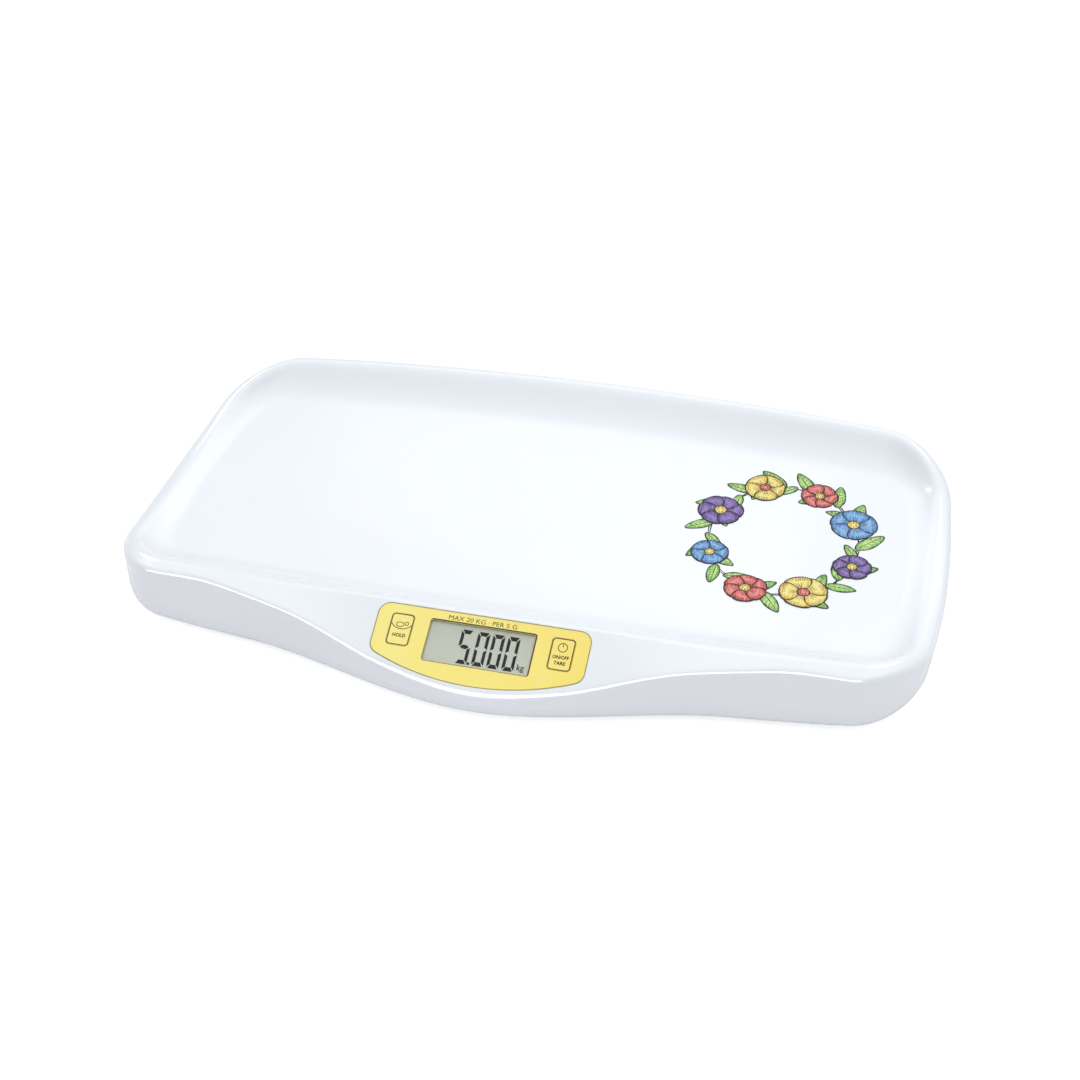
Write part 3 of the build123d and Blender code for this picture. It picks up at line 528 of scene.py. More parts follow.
def words_mesh(name, text, height, place, low, high, width, weight=0.0):
    """Printed words, centred over place; height is the capitals' and width the whole text's."""
    font = bpy.data.curves.new(name, "FONT")
    font.body = text
    font.align_x = "CENTER"
    capital_share = 0.73
    font.size = height / capital_share
    font.extrude = (high - low) / 2
    font.offset = weight
    font.resolution_u = 3
    mesh = curve_mesh(font, name)
    xs = [vertex.co.x for vertex in mesh.vertices]
    stretch = width / (max(xs) - min(xs))
    mesh.transform(Matrix.Translation((place[0], place[1], (low + high) / 2))
                   @ Matrix.Diagonal((stretch, 1, 1, 1)))
    return mesh


def join_meshes(name, meshes):
    """One mesh from several, which are used up."""
    work = bmesh.new()
    for mesh in meshes:
        work.from_mesh(mesh)
    joined = bpy.data.meshes.new(name)
    work.to_mesh(joined)
    work.free()
    for mesh in meshes:
        bpy.data.meshes.remove(mesh)
    return joined


def arc(centre_x, centre_y, radius, start, end, steps):
    """Points of an arc between two angles."""
    return [(centre_x + radius * cos(start + (end - start) * i / steps),
             centre_y + radius * sin(start + (end - start) * i / steps)) for i in range(steps + 1)]


def ellipse(centre_x, centre_y, radius_x, radius_y, steps):
    """Outline of a circle or an ellipse."""
    return [(centre_x + radius_x * cos(turn), centre_y + radius_y * sin(turn))
            for turn in [2 * pi * i / steps for i in range(steps)]]


def rounded_box(x, y, width, height, radius, steps=8):
    """Outline of a rounded rectangle round a middle point."""
    half_x, half_y = width / 2 - radius, height / 2 - radius
    points = []
    for index, (sx, sy) in enumerate(((1, 1), (-1, 1), (-1, -1), (1, -1))):
        start = index * pi / 2
        points += arc(x + sx * half_x, y + sy * half_y, radius, start, start + pi / 2, steps)
    return points


# ------------------------------------------------------------------ form of the body
def smoothstep(t):
    t = max(0.0, min(1.0, t))
    return t * t * (3 - 2 * t)


def bend(start, corner, end, steps):
    """Points of a soft corner, ends included."""
    return [start * (1 - i / steps) ** 2 + corner * (2 * i / steps * (1 - i / steps))
            + end * (i / steps) ** 2 for i in range(steps + 1)]


class BodyForm:
    """The body's outer form, worked out from its sizes."""
    front_steps, corner_steps, end_steps = 80, 14, 30

    def __init__(self, sizes):
        for key in BodySizes.__annotations__:
            setattr(self, key, getattr(sizes, key))
        self.half_length = self.length / 2
        self.half_depth = self.corner_depth / 2
        front_reach = self.half_depth + self.front_bow + self.bulge + self.front_flare
        self.plan_centre = (front_reach - self.half_depth - self.back_bow) / 2
        self.panel_slope = tan(self.panel_angle)
        self.crest_front_y = self.plan_centre - self.half_depth + self.rim_width - self.crest_bow

    def samples(self):
        """Points and outward normals round the rounded rectangle, from mid front."""
        front_x = self.half_length - self.front_corner
        back_x = self.half_length - self.back_corner
        front_y = self.front_corner - self.half_depth
        back_y = self.half_depth - self.back_corner
        half = [(front_x * i / self.front_steps, -self.half_depth, 0.0, -1.0)
                for i in range(self.front_steps)]
        for i in range(self.corner_steps):
            turn = pi / 2 * i / self.corner_steps
            half.append((front_x + self.front_corner * sin(turn),
                         front_y - self.front_corner * cos(turn), sin(turn), -cos(turn)))
        half += [(self.half_length, front_y + (back_y - front_y) * i / self.end_steps, 1.0, 0.0)
                 for i in range(self.end_steps)]
        for i in range(self.corner_steps):
            turn = pi / 2 * i / self.corner_steps
            half.append((back_x + self.back_corner * cos(turn),
                         back_y + self.back_corner * sin(turn), cos(turn), sin(turn)))
        half += [(back_x * (1 - i / self.front_steps), self.half_depth, 0.0, 1.0)
                 for i in range(self.front_steps + 1)]
        return half + [(-x, y, -nx, ny) for x, y, nx, ny in half[-2:0:-1]]

    def bowed(self, x, y, v, bow, swell):
        """Bow the sides of the plan; v is -1 at the front line and 1 at the back line."""
        u = x / self.half_length
        front = (1 - v) / 2
        bump = 1 - smoothstep(abs(x - self.display_x) / self.bulge_reach)
        shift = (self.back_bow * (1 - front) * (1 - u**2) - bow * front * (1 - u**2)
                 - swell * bump * front)
        return x - self.side_bow * v**2 * u**5, y + self.plan_centre + shift

    def crest_height(self, x, v):
        return self.rim_height - self.end_dip * (1 - v**2) * (x / self.half_length) ** 4

    def dish_bottom(self, s, t):
        return self.dish_floor + self.dish_cup * t**2 - self.dish_fall * s**2

    def dish_point(self, x, y, inside, drop):
        """A point of the dish from its place on the straight plan."""
        t = y / (self.half_depth - self.rim_width)
        s = x / (self.half_length - self.rim_width)
        bottom = self.dish_bottom(s, t)
        band = self.dish_end_band + (self.dish_band - self.dish_end_band) * t**2
        rise = max(0.0, 1 - inside / (band * self.foot_spread)) ** self.foot_power
        z = bottom + (self.crest_height(x, t) - bottom) * rise
        px, py = self.bowed(x, y, t, self.crest_bow, 0)
        return Vector((px, py, z - drop))

    def inside(self, x, y):
        """Distance on the straight plan from the crest inwards."""
        half_x = self.half_length - self.rim_width
        half_y = self.half_depth - self.rim_width
        radius = (self.front_corner if y < 0 else self.back_corner) - self.rim_width
        over_x, over_y = abs(x) - half_x + radius, abs(y) - half_y + radius
        if over_x > 0 and over_y > 0:
            return radius - hypot(over_x, over_y)
        return radius - max(over_x, over_y)

    def base_inset(self, nx, ny):
        return self.end_tuck * nx**2 - self.front_flare * max(0.0, -ny) ** 2

    def profile(self, sample, depth, band_rings, apron_rows, bend_rows, wall_rows=4):
        """One column of the shell, from the dish over the crest and down to the lip.

        Depth 0 gives the outside and the wall's thickness the inside.
        """
        x, y, nx, ny = sample
        v = y / self.half_depth

        def at(inset, bow, swell, z):
            px, py = self.bowed(x - inset * nx, y - inset * ny, v, bow, swell)
            return Vector((px, py, z))

        crest_z = self.crest_height(x - self.rim_width * nx, v)
        crest = at(self.rim_width, self.crest_bow, 0, crest_z)
        facing = max(0.0, -ny) ** 2
        past = abs(abs(x - self.display_x) - self.shoulder_x) / self.shoulder_reach
        tuck = self.shoulder_tuck * (1 - smoothstep(past)) * facing
        corner = at(tuck, self.front_bow, self.bulge, 0)
        run = hypot(corner.x - crest.x, corner.y - crest.y)
        fade = smoothstep((abs(x - self.display_x) - self.panel_flat) / self.apron_fade)
        slope = self.panel_slope + (self.apron_end_slope - self.panel_slope) * fade
        side_z = crest_z - self.rim_drop
        corner.z = side_z + (crest_z - slope * run - side_z) * facing
        fall = (crest.z - corner.z) / run
        sunk = Vector((0, 0, -depth * hypot(1, fall)))
        corner = corner + (crest - corner) * (depth / run) + sunk
        crest = crest + sunk
        inset = self.base_inset(nx, ny)
        foot = at(inset + depth, self.front_bow, self.bulge, self.underside + self.base_rounding)
        edge = at(inset + depth, self.front_bow, self.bulge, self.underside + depth)
        heel = at(inset + self.base_rounding, self.front_bow, self.bulge, self.underside + depth)
        lip = at(inset + self.lip_width, self.front_bow, self.bulge, self.underside + depth)

        softness = self.crease_softness + (self.front_crease - self.crease_softness) * facing
        least_rounding = 1 * MM
        reach = max(softness - depth, least_rounding)
        start = corner + (crest - corner).normalized() * reach
        end = corner + (foot - corner).normalized() * reach
        near = (1 - fade) * facing
        soft = self.crest_roll + (self.crest_softness - self.crest_roll) * near
        points = []
        for ring in [soft + (band_rings[0] - soft) * part for part in band_rings[1:]]:
            out_x, out_y = x - (self.rim_width + ring) * nx, y - (self.rim_width + ring) * ny
            point = self.dish_point(out_x, out_y, ring, depth)
            # The dish's own plan meets the section's plan at the crest.
            ease = 1 - smoothstep(ring / band_rings[0])
            drift = crest - self.dish_point(x - self.rim_width * nx, y - self.rim_width * ny,
                                            0, depth)
            points.append(point + drift * ease)
        inner = points.pop()
        # The crest's rounding takes at most this share of the way to the wall's rounding.
        roll_share = 0.6
        outer = crest + (start - crest).normalized() * min(soft, roll_share * (start - crest).length)
        points += bend(inner, crest, outer, bend_rows)
        points += [outer + (start - outer) * (i / apron_rows) for i in range(1, apron_rows)]
        points += bend(start, corner, end, bend_rows)
        points += [end + (foot - end) * (i / wall_rows) for i in range(1, wall_rows)]
        points += bend(foot, edge, heel, bend_rows)
        points.append(lip)
        return points


def shell_mesh(form):
    """The tray shell as one closed skin: outside, lip and inside.

    Each list of rings holds the distance of the innermost ring from the crest, then how far
    towards that ring each ring of the dish's band lies.
    """
    dish_inset = 26 * MM
    outer_rings = [dish_inset] + [1 - i / 16 for i in range(17)]
    inner_rings = [dish_inset] + [1 - i / 3 for i in range(4)]
    samples = form.samples()
    columns = []
    for sample in samples:
        outside = form.profile(sample, 0.0, outer_rings, 9, 8)
        within = form.profile(sample, form.wall, inner_rings, 4, 3)
        columns.append(outside + within[::-1])
    count, height = len(samples), len(columns[0])
    work = bmesh.new()
    grid = [[work.verts.new(point) for point in column] for column in columns]
    for i in range(count):
        here, there = grid[i], grid[(i + 1) % count]
        for j in range(height - 1):
            work.faces.new((here[j], here[j + 1], there[j + 1], there[j]))
    close_dish(work, form, samples, [column[0] for column in grid], dish_inset, 0.0, False)
    close_dish(work, form, samples, [column[-1] for column in grid], dish_inset, form.wall, True)
    bmesh.ops.recalc_face_normals(work, faces=work.faces)
    mesh = bpy.data.meshes.new("tray_shell")
    work.to_mesh(mesh)
    work.free()
    return mesh


def close_dish(work, form, samples, ring, ring_inside, drop, flip):
    """Fill the dish inside its innermost ring with a grid."""
    count = len(samples)
    front_end = form.front_steps + form.corner_steps // 2
    back_end = front_end + form.corner_steps + form.end_steps
    columns, rows = 2 * front_end, back_end - front_end
    inset = form.rim_width + ring_inside

    def plan(index):
        x, y, nx, ny = samples[index % count]
        return Vector((x - inset * nx, y - inset * ny))

    front = [(i - front_end) % count for i in range(columns + 1)]
    back = [(count - back_end - i) % count for i in range(columns + 1)]
    right = [(front_end + j) % count for j in range(rows + 1)]
    left = [(count - front_end - j) % count for j in range(rows + 1)]
    corners = [plan(front[0]), plan(front[-1]), plan(back[0]), plan(back[-1])]
    verts = {}
    for i in range(columns + 1):
        verts[i, 0], verts[i, rows] = ring[front[i]], ring[back[i]]
    for j in range(rows + 1):
        verts[0, j], verts[columns, j] = ring[left[j]], ring[right[j]]
    for i in range(1, columns):
        u = i / columns
        for j in range(1, rows):
            v = j / rows
            point = (plan(front[i]) * (1 - v) + plan(back[i]) * v + plan(left[j]) * (1 - u)
                     + plan(right[j]) * u - corners[0] * ((1 - u) * (1 - v))
                     - corners[1] * (u * (1 - v)) - corners[2] * ((1 - u) * v)
                     - corners[3] * (u * v))
            inside = form.inside(point.x, point.y)
            verts[i, j] = work.verts.new(form.dish_point(point.x, point.y, inside, drop))
    for i in range(columns):
        for j in range(rows):
            face = [verts[i, j], verts[i + 1, j], verts[i + 1, j + 1], verts[i, j + 1]]
            work.faces.new(face[::-1] if flip else face)


# ------------------------------------------------------------------ form of the panel
class PanelForm:
    """The display panel's outlines and heights in its own sloping plane."""

    def __init__(self, sizes, body):
        for key in PanelSizes.__annotations__:
            setattr(self, key, getattr(sizes, key))
        slope = body.panel_angle
        across, up = Vector((1, 0, 0)), Vector((0, cos(slope), sin(slope)))
        out = across.cross(up)
        self.place = Matrix((across, up, out)).transposed().to_4x4()
        self.place.translation = (body.display_x, body.crest_front_y, body.rim_height)
        self.film_top = -self.film_sink
        self.pocket = self.film_top - self.film
        self.lens_bottom = self.pocket - self.lens
        self.lcd_top = self.lens_bottom - self.fit
        self.through = -2 * body.wall
        self.ink_low, self.ink_high = self.film_top - self.ink_root, self.film_top + self.ink_rise

    def outline(self, grow):
        """The panel's outline, grown, with rounded corners and a curved bottom edge."""
        half = self.width / 2 + grow
        top = -self.top + grow
        low = -(self.top + self.side) - grow
        bottom = -self.bottom - grow
        radius = self.corner + grow
        sagitta = low - bottom
        bottom_radius = (half**2 + sagitta**2) / (2 * sagitta)
        centre_y = bottom + bottom_radius
        # Each lower corner rounds between the side and the bottom curve.
        corner_x = half - radius
        corner_y = centre_y - ((bottom_radius - radius) ** 2 - corner_x**2) ** 0.5
        turn = Vector((corner_x, corner_y - centre_y)).angle_signed(Vector((1, 0)))
        points = arc(half - radius, top - radius, radius, 0, pi / 2, 10)
        points += arc(radius - half, top - radius, radius, pi / 2, pi, 10)
        points += arc(-corner_x, corner_y, radius, pi, 3 * pi / 2 - (pi / 2 + turn), 8)
        points += arc(0, centre_y, bottom_radius, -pi - turn, turn, 48)[1:-1]
        points += arc(corner_x, corner_y, radius, turn, 0, 8)
        return points

    def window(self, grow, corner, steps=8):
        return rounded_box(0, -self.window_y, self.window_width + 2 * grow,
                           self.window_height + 2 * grow, corner, steps)

    def key(self, side, grow):
        return rounded_box(side * self.key_x, -self.key_y, self.key_width + 2 * grow,
                           self.key_height + 2 * grow, self.key_corner + grow)

    def add(self, name, mesh, material, slot="panel_print", body="scale"):
        """A piece of the panel, moved from its plane into place."""
        mesh.transform(self.place)
        return add_piece(name, mesh, material, body)


def cut(piece, loops, low, high, place):
    """Cut a flat-sided opening into a piece."""
    cutter_mesh = flat_mesh("cutter", loops, low, high)
    cutter_mesh.transform(place)
    cutter = bpy.data.objects.new("cutter", cutter_mesh)
    bpy.context.scene.collection.objects.link(cutter)
    boolean = piece.modifiers.new("cut", "BOOLEAN")
    boolean.operation = "DIFFERENCE"
    boolean.solver = "EXACT"
    boolean.object = cutter
    evaluated = piece.evaluated_get(bpy.context.evaluated_depsgraph_get())
    mesh = bpy.data.meshes.new_from_object(evaluated)
    piece.modifiers.clear()
    old = piece.data
    piece.data = mesh
    bpy.data.meshes.remove(old)
    bpy.data.objects.remove(cutter)
    bpy.data.meshes.remove(cutter_mesh)


def segment_loops(left, bottom, width, height, digit):
    """Outlines of the seven segments that make one digit."""
    lit = {"0": "abcdef", "1": "bc", "2": "abged", "3": "abgcd", "4": "fgbc", "5": "afgcd",
           "6": "afgedc", "7": "abc", "8": "abcdefg", "9": "abcdfg"}[digit]
    bar, post, gap = 2.7 * MM, 2.0 * MM, 0.22 * MM
    bar_inset, post_inset, middle_inset, point = 0.7 * MM, 0.75 * MM, 0.9 * MM, 0.5 * MM
    right, top, middle = left + width, bottom + height, bottom + height / 2

    def lying(y_out, y_in):
        """A bar that narrows from its outer edge to its inner one."""
        inner_inset = bar_inset + post * 0.75
        return [(left + bar_inset, y_out), (right - bar_inset, y_out),
                (right - inner_inset, y_in), (left + inner_inset, y_in)]

    def standing(x_out, x_in, y_end):
        """A post from near the end of the digit to near its middle."""
        way = 1 if y_end > middle else -1
        return [(x_out, y_end - way * post_inset), (x_out, middle + way * gap),
                (x_in, middle + way * (gap + bar * 0.45)), (x_in, y_end - way * (bar + gap))]

    inner_left, inner_right = left + post + point, right - post - point
    loops = {
        "a": lying(top, top - bar),
        "d": lying(bottom, bottom + bar),
        "f": standing(left, left + post, top),
        "e": standing(left, left + post, bottom),
        "b": standing(right, right - post, top),
        "c": standing(right, right - post, bottom),
        "g": [(left + middle_inset, middle), (inner_left, middle + bar / 2),
              (inner_right, middle + bar / 2), (right - middle_inset, middle),
              (inner_right, middle - bar / 2), (inner_left, middle - bar / 2)],
    }
    return [loops[name] for name in lit]


# ------------------------------------------------------------------ print on the tray
class TrayPrint:
    """Draws flat motifs on the dish, each a thin skin that follows its surface."""
    sunk = 0.05 * MM
    above_tray = 0.2

    def __init__(self, tray):
        self.tree = BVHTree.FromPolygons([v.co.copy() for v in tray.data.vertices],
                                         [tuple(p.vertices) for p in tray.data.polygons])
        self.works = {}
        self.layer = 0

    def surface(self, x, y):
        """Height of the tray's face at a place."""
        hit = self.tree.ray_cast(Vector((x, y, self.above_tray)), Vector((0, 0, -1)))[0]
        if hit is None:
            raise RuntimeError("the print reaches past the tray")
        return hit.z

    def work(self, name):
        """The mesh that one colour is drawn in."""
        if name not in self.works:
            made = bmesh.new()
            made.verts.layers.float.new("edge")
            self.works[name] = made
        return self.works[name]

    def rise(self):
        """How far the print stands over the dish; later shapes lie over earlier ones."""
        return (0.02 + 0.006 * self.layer) * MM

    def lift(self):
        """Lets the next lines lie over the shape that was drawn last."""
        self.layer += 0.3

    def skin(self, name, rows, closed, edges):
        """A thin closed solid from rows of (x, y) points, top and bottom alike."""
        work = self.work(name)
        edge_layer = work.verts.layers.float["edge"]
        top, bottom = [], []
        for row, edge in zip(rows, edges):
            upper, lower = [], []
            for x, y in row:
                z = self.surface(x, y)
                for store, height in ((upper, z + self.rise()), (lower, z - self.sunk)):
                    vertex = work.verts.new((x, y, height))
                    vertex[edge_layer] = edge
                    store.append(vertex)
            top.append(upper)
            bottom.append(lower)
        span = len(rows[0])
        steps = range(span) if closed else range(span - 1)
        for j in range(len(rows) - 1):
            for i in steps:
                k = (i + 1) % span
                work.faces.new((top[j][i], top[j][k], top[j + 1][k], top[j + 1][i]))
                work.faces.new((bottom[j][k], bottom[j][i], bottom[j + 1][i], bottom[j + 1][k]))
        for i in steps:
            k = (i + 1) % span
            work.faces.new((top[-1][i], top[-1][k], bottom[-1][k], bottom[-1][i]))
            if not closed:
                work.faces.new((top[0][k], top[0][i], bottom[0][i], bottom[0][k]))
        if not closed:
            for end in (0, -1):
                for j in range(len(rows) - 1):
                    quad = (top[j][end], top[j + 1][end], bottom[j + 1][end], bottom[j][end])
                    work.faces.new(quad if end == 0 else quad[::-1])
        return top, bottom

    def patch(self, name, outline, middle):
        """A filled shape round its middle point."""
        shares = (0.12, 0.35, 0.6, 0.8, 0.92, 1.0)
        rows = [[(middle[0] + (x - middle[0]) * part, middle[1] + (y - middle[1]) * part)
                 for x, y in outline] for part in shares]
        top, bottom = self.skin(name, rows, True, shares)
        work = self.work(name)
        work.faces.new(top[0][::-1])
        work.faces.new(bottom[0])

    def line(self, path, width, closed=False, taper=False):
        """A drawn line along a path, with a slightly uneven width."""
        count = len(path)
        left, right = [], []
        for i, (x, y) in enumerate(path):
            if closed:
                before, after = path[i - 1], path[(i + 1) % count]
            else:
                before, after = path[max(i - 1, 0)], path[min(i + 1, count - 1)]
            dx, dy = after[0] - before[0], after[1] - before[1]
            span = hypot(dx, dy) or 1.0
            half = width / 2 * (1 + 0.22 * sin(i * 0.9 + self.layer))
            if taper:
                half *= 0.3 + 0.7 * sin(pi * (i + 0.5) / count)
            nx, ny = -dy / span * half, dx / span * half
            left.append((x + nx, y + ny))
            right.append((x - nx, y - ny))
        if closed:
            self.ring_line(left, right)
        else:
            self.skin("ink", [left, right], False, (0, 0))

    def ring_line(self, left, right):
        """A line that closes on itself, with walls on both sides."""
        work = self.work("ink")
        loops = []
        for side, height in ((left, self.rise()), (right, self.rise()), (right, -self.sunk),
                             (left, -self.sunk)):
            loops.append([work.verts.new((x, y, self.surface(x, y) + height)) for x, y in side])
        count = len(left)
        for first, second in ((0, 1), (1, 2), (2, 3), (3, 0)):
            for i in range(count):
                k = (i + 1) % count
                work.faces.new((loops[first][i], loops[first][k], loops[second][k],
                                loops[second][i]))

    def shape(self, name, outline, middle, width):
        """A filled shape with its drawn outline."""
        self.layer += 1
        self.patch(name, outline, middle)
        self.line(outline, width, closed=True)

    def meshes(self):
        """Each colour's name with its finished mesh."""
        for name, work in self.works.items():
            bmesh.ops.recalc_face_normals(work, faces=work.faces)
            mesh = bpy.data.meshes.new(f"print_{name}")
            work.to_mesh(mesh)
            work.free()
            yield name, mesh


def turned(points, place, heading):
    """Points turned by a heading and then moved to a place."""
    c, s = cos(heading), sin(heading)
    return [(place[0] + x * c - y * s, place[1] + x * s + y * c) for x, y in points]


def leaf_outline(length, width, steps=36):
    """A pointed leaf from its foot at 0 to its tip at length."""
    points = []
    for i in range(steps):
        turn = 2 * pi * i / steps
        along = (1 - cos(turn)) / 2
        side = width / 2 * abs(sin(turn)) ** 1.3 * (1.12 - 0.35 * along)
        points.append((length * along, side if turn <= pi else -side))
    return points


def petal_outline(length, width, steps=30):
    """A round petal, narrow at its foot."""
    points = []
    for i in range(steps):
        turn = 2 * pi * i / steps
        along = (1 - cos(turn)) / 2
        points.append((length * along, width / 2 * sin(turn) * (0.62 + 0.5 * along)))
    return points


def draw_leaf(print_, draw, place, heading, length, width, line):
    """A leaf with its vein and, on one side of it, four ribs."""
    outline = turned(leaf_outline(length, width), place, heading)
    middle = turned([(length * 0.47, 0)], place, heading)[0]
    print_.shape("green", outline, middle, line)
    vein = turned([(length * t, 0.04 * width * sin(3 * t)) for t in
                   [0.08 + 0.09 * i for i in range(10)]], place, heading)
    print_.lift()
    print_.line(vein, line * 0.7, taper=True)
    for i in range(4):
        foot = 0.26 + 0.15 * i + 0.02 * draw.random()
        reach = width * (0.33 - 0.04 * i)
        rib = [(length * foot + reach * 0.85 * t, -reach * t) for t in (0.05, 0.35, 0.65, 0.95)]
        print_.line(turned(rib, place, heading), line * 0.5, taper=True)


def draw_flower(print_, draw, name, place, radius, petals, turn, line):
    """A flower: petals hatched at foot and edge, round an eye of another colour."""
    eye = radius * 0.27
    for k in range(petals):
        heading = turn + 2 * pi * k / petals
        length = (radius - eye * 0.5) * (0.95 + 0.1 * draw.random())
        width = 2.2 * radius * sin(pi / petals) * (0.98 + 0.08 * draw.random())
        foot = turned([(eye * 0.5, 0)], place, heading)[0]
        outline = turned(petal_outline(length, width), foot, heading)
        middle = turned([(length * 0.6, 0)], foot, heading)[0]
        print_.shape(name, outline, middle, line)
        print_.lift()
        for side in (-0.35, 0.05, 0.4):
            stroke = [(length * t, side * width * 0.45 * t) for t in (0.2, 0.32, 0.44, 0.56)]
            print_.line(turned(stroke, foot, heading), line * 0.45, taper=True)
        for i in range(6):
            side = -0.42 + 0.09 * i
            stroke = [(length * (t - 0.28 * side**2), side * width * t) for t in (0.7, 0.79, 0.88)]
            print_.line(turned(stroke, foot, heading), line * 0.4, taper=True)
    print_.shape("red" if name == "gold" else "gold", ellipse(*place, eye, eye, 20), place, line)
    print_.lift()
    for i in range(6):
        a = 2 * pi * i / 6 + turn
        dot = [(place[0] + eye * r * cos(a), place[1] + eye * r * sin(a)) for r in (0.35, 0.5, 0.65)]
        print_.line(dot, line * 0.8)


# ------------------------------------------------------------------ operators
class SCALE_OT_tray(bpy.types.Operator):
    """Make the tray shell with its dish, rim, apron and the panel's pocket"""
    bl_idname = "scale.tray"
    bl_label = "Tray shell"

    def execute(self, context):
        own = settings()
        form = BodyForm(own.body)
        panel = PanelForm(own.panel, form)
        white = moulded_plastic("glossy_white_plastic", own.colours.white, 0.2,
                                ripple=0.02 * MM, texture=0.002 * MM, coat=0.3, fleck=0.985)
        tray = add_piece("tray_shell", shell_mesh(form), white)
        lens = panel.window(panel.lens_lap + panel.fit, 0.1 * MM, 2)
        openings = [panel.window(panel.lcd_margin + panel.slack, 0.3 * MM)]
        openings += [panel.key(side, panel.slack) for side in (-1, 1)]
        clear_of_apron = 10 * MM
        for loops, low in (([panel.outline(panel.fit)], panel.pocket),
                           ([lens], panel.lens_bottom), (openings, panel.through)):
            cut(tray, loops, low, clear_of_apron, panel.place)
        smooth_faces(tray.data, radians(38))
        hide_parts("tray_cover")
        return {"FINISHED"}


class SCALE_OT_panel(bpy.types.Operator):
    """Make the printed film with its outline, the window's border and the words"""
    bl_idname = "scale.panel"
    bl_label = "Display panel"

    def execute(self, context):
        own = settings()
        panel = PanelForm(own.panel, BodyForm(own.body))
        yellow = panel_film("yellow_film", own.colours.yellow, own.colours.yellow_light)
        loops = [panel.outline(0), panel.window(0, panel.window_corner)]
        loops += [panel.key(side, panel.slack) for side in (-1, 1)]
        film = flat_mesh("panel_film", loops, panel.pocket, panel.film_top, panel.film_edge)
        film_piece = panel.add("panel_film", film, yellow)
        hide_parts("display_overlay")

        low, high = panel.ink_low, panel.ink_high
        # A dark line along the film, just inside its edge.
        edge = [panel.outline(-panel.line_inset), panel.outline(-panel.line_inset - panel.line)]
        panel.add("film_outline", flat_mesh("film_outline", edge, low, high),
                  printed_ink("outline_ink", own.colours.outline, 1.8))
        # The printed border is wider at the window's top and right; that extra width is a painted
        # shadow of the window's edge.
        rim = [(x + panel.border_shade, y + panel.border_shade)
               for x, y in panel.window(panel.border_line, panel.border_corner)]
        border = [rim, panel.window(panel.border_gap, panel.window_corner)]
        panel.add("window_border", flat_mesh("window_border", border, low, high),
                  printed_ink("border_ink", own.colours.border, 1.6))
        caption = words_mesh("caption", panel.caption, panel.caption_height,
                             (panel.caption_x, -panel.caption_y), low, high, panel.caption_width)
        panel.add("caption", caption, printed_ink("caption_ink", own.colours.segments, 2.5))
        return {"FINISHED"}


class SCALE_OT_display(bpy.types.Operator):
    """Finish the lens and the display glass and make the number that it shows"""
    bl_idname = "scale.display"
    bl_label = "Display"

    def execute(self, context):
        own = settings()
        panel = PanelForm(own.panel, BodyForm(own.body))
        dress(clear_lens("clear_acrylic"), "display_lens")
        dress(display_glass("display_glass", own.colours.glass), "lcd_glass")
        low, high = panel.lcd_top - panel.ink_root, panel.lcd_top + panel.digit_rise
        left, bottom = panel.digits_left, panel.digits_bottom
        loops = []
        for character in panel.reading:
            if character == ".":
                loops.append(rounded_box(left - panel.point_space, bottom + panel.point_height / 2,
                                         panel.point_width, panel.point_height, 0.2 * MM, 3))
                left += panel.point_space
            elif character.isdigit():
                loops += segment_loops(left, bottom, panel.digit_width, panel.digit_height, character)
                left += panel.digit_pitch
            else:
                raise RuntimeError("the reading holds only digits and a point")
        number = flat_mesh("number", loops, low, high)
        unit = words_mesh("unit", "kg", panel.unit_height, (panel.unit_x, -panel.unit_y), low, high,
                          panel.unit_width, panel.unit_weight)
        panel.add("display_number", join_meshes("display_number", [number, unit]),
                  printed_ink("segment_black", own.colours.segments, 1.3), "lcd")
        return {"FINISHED"}


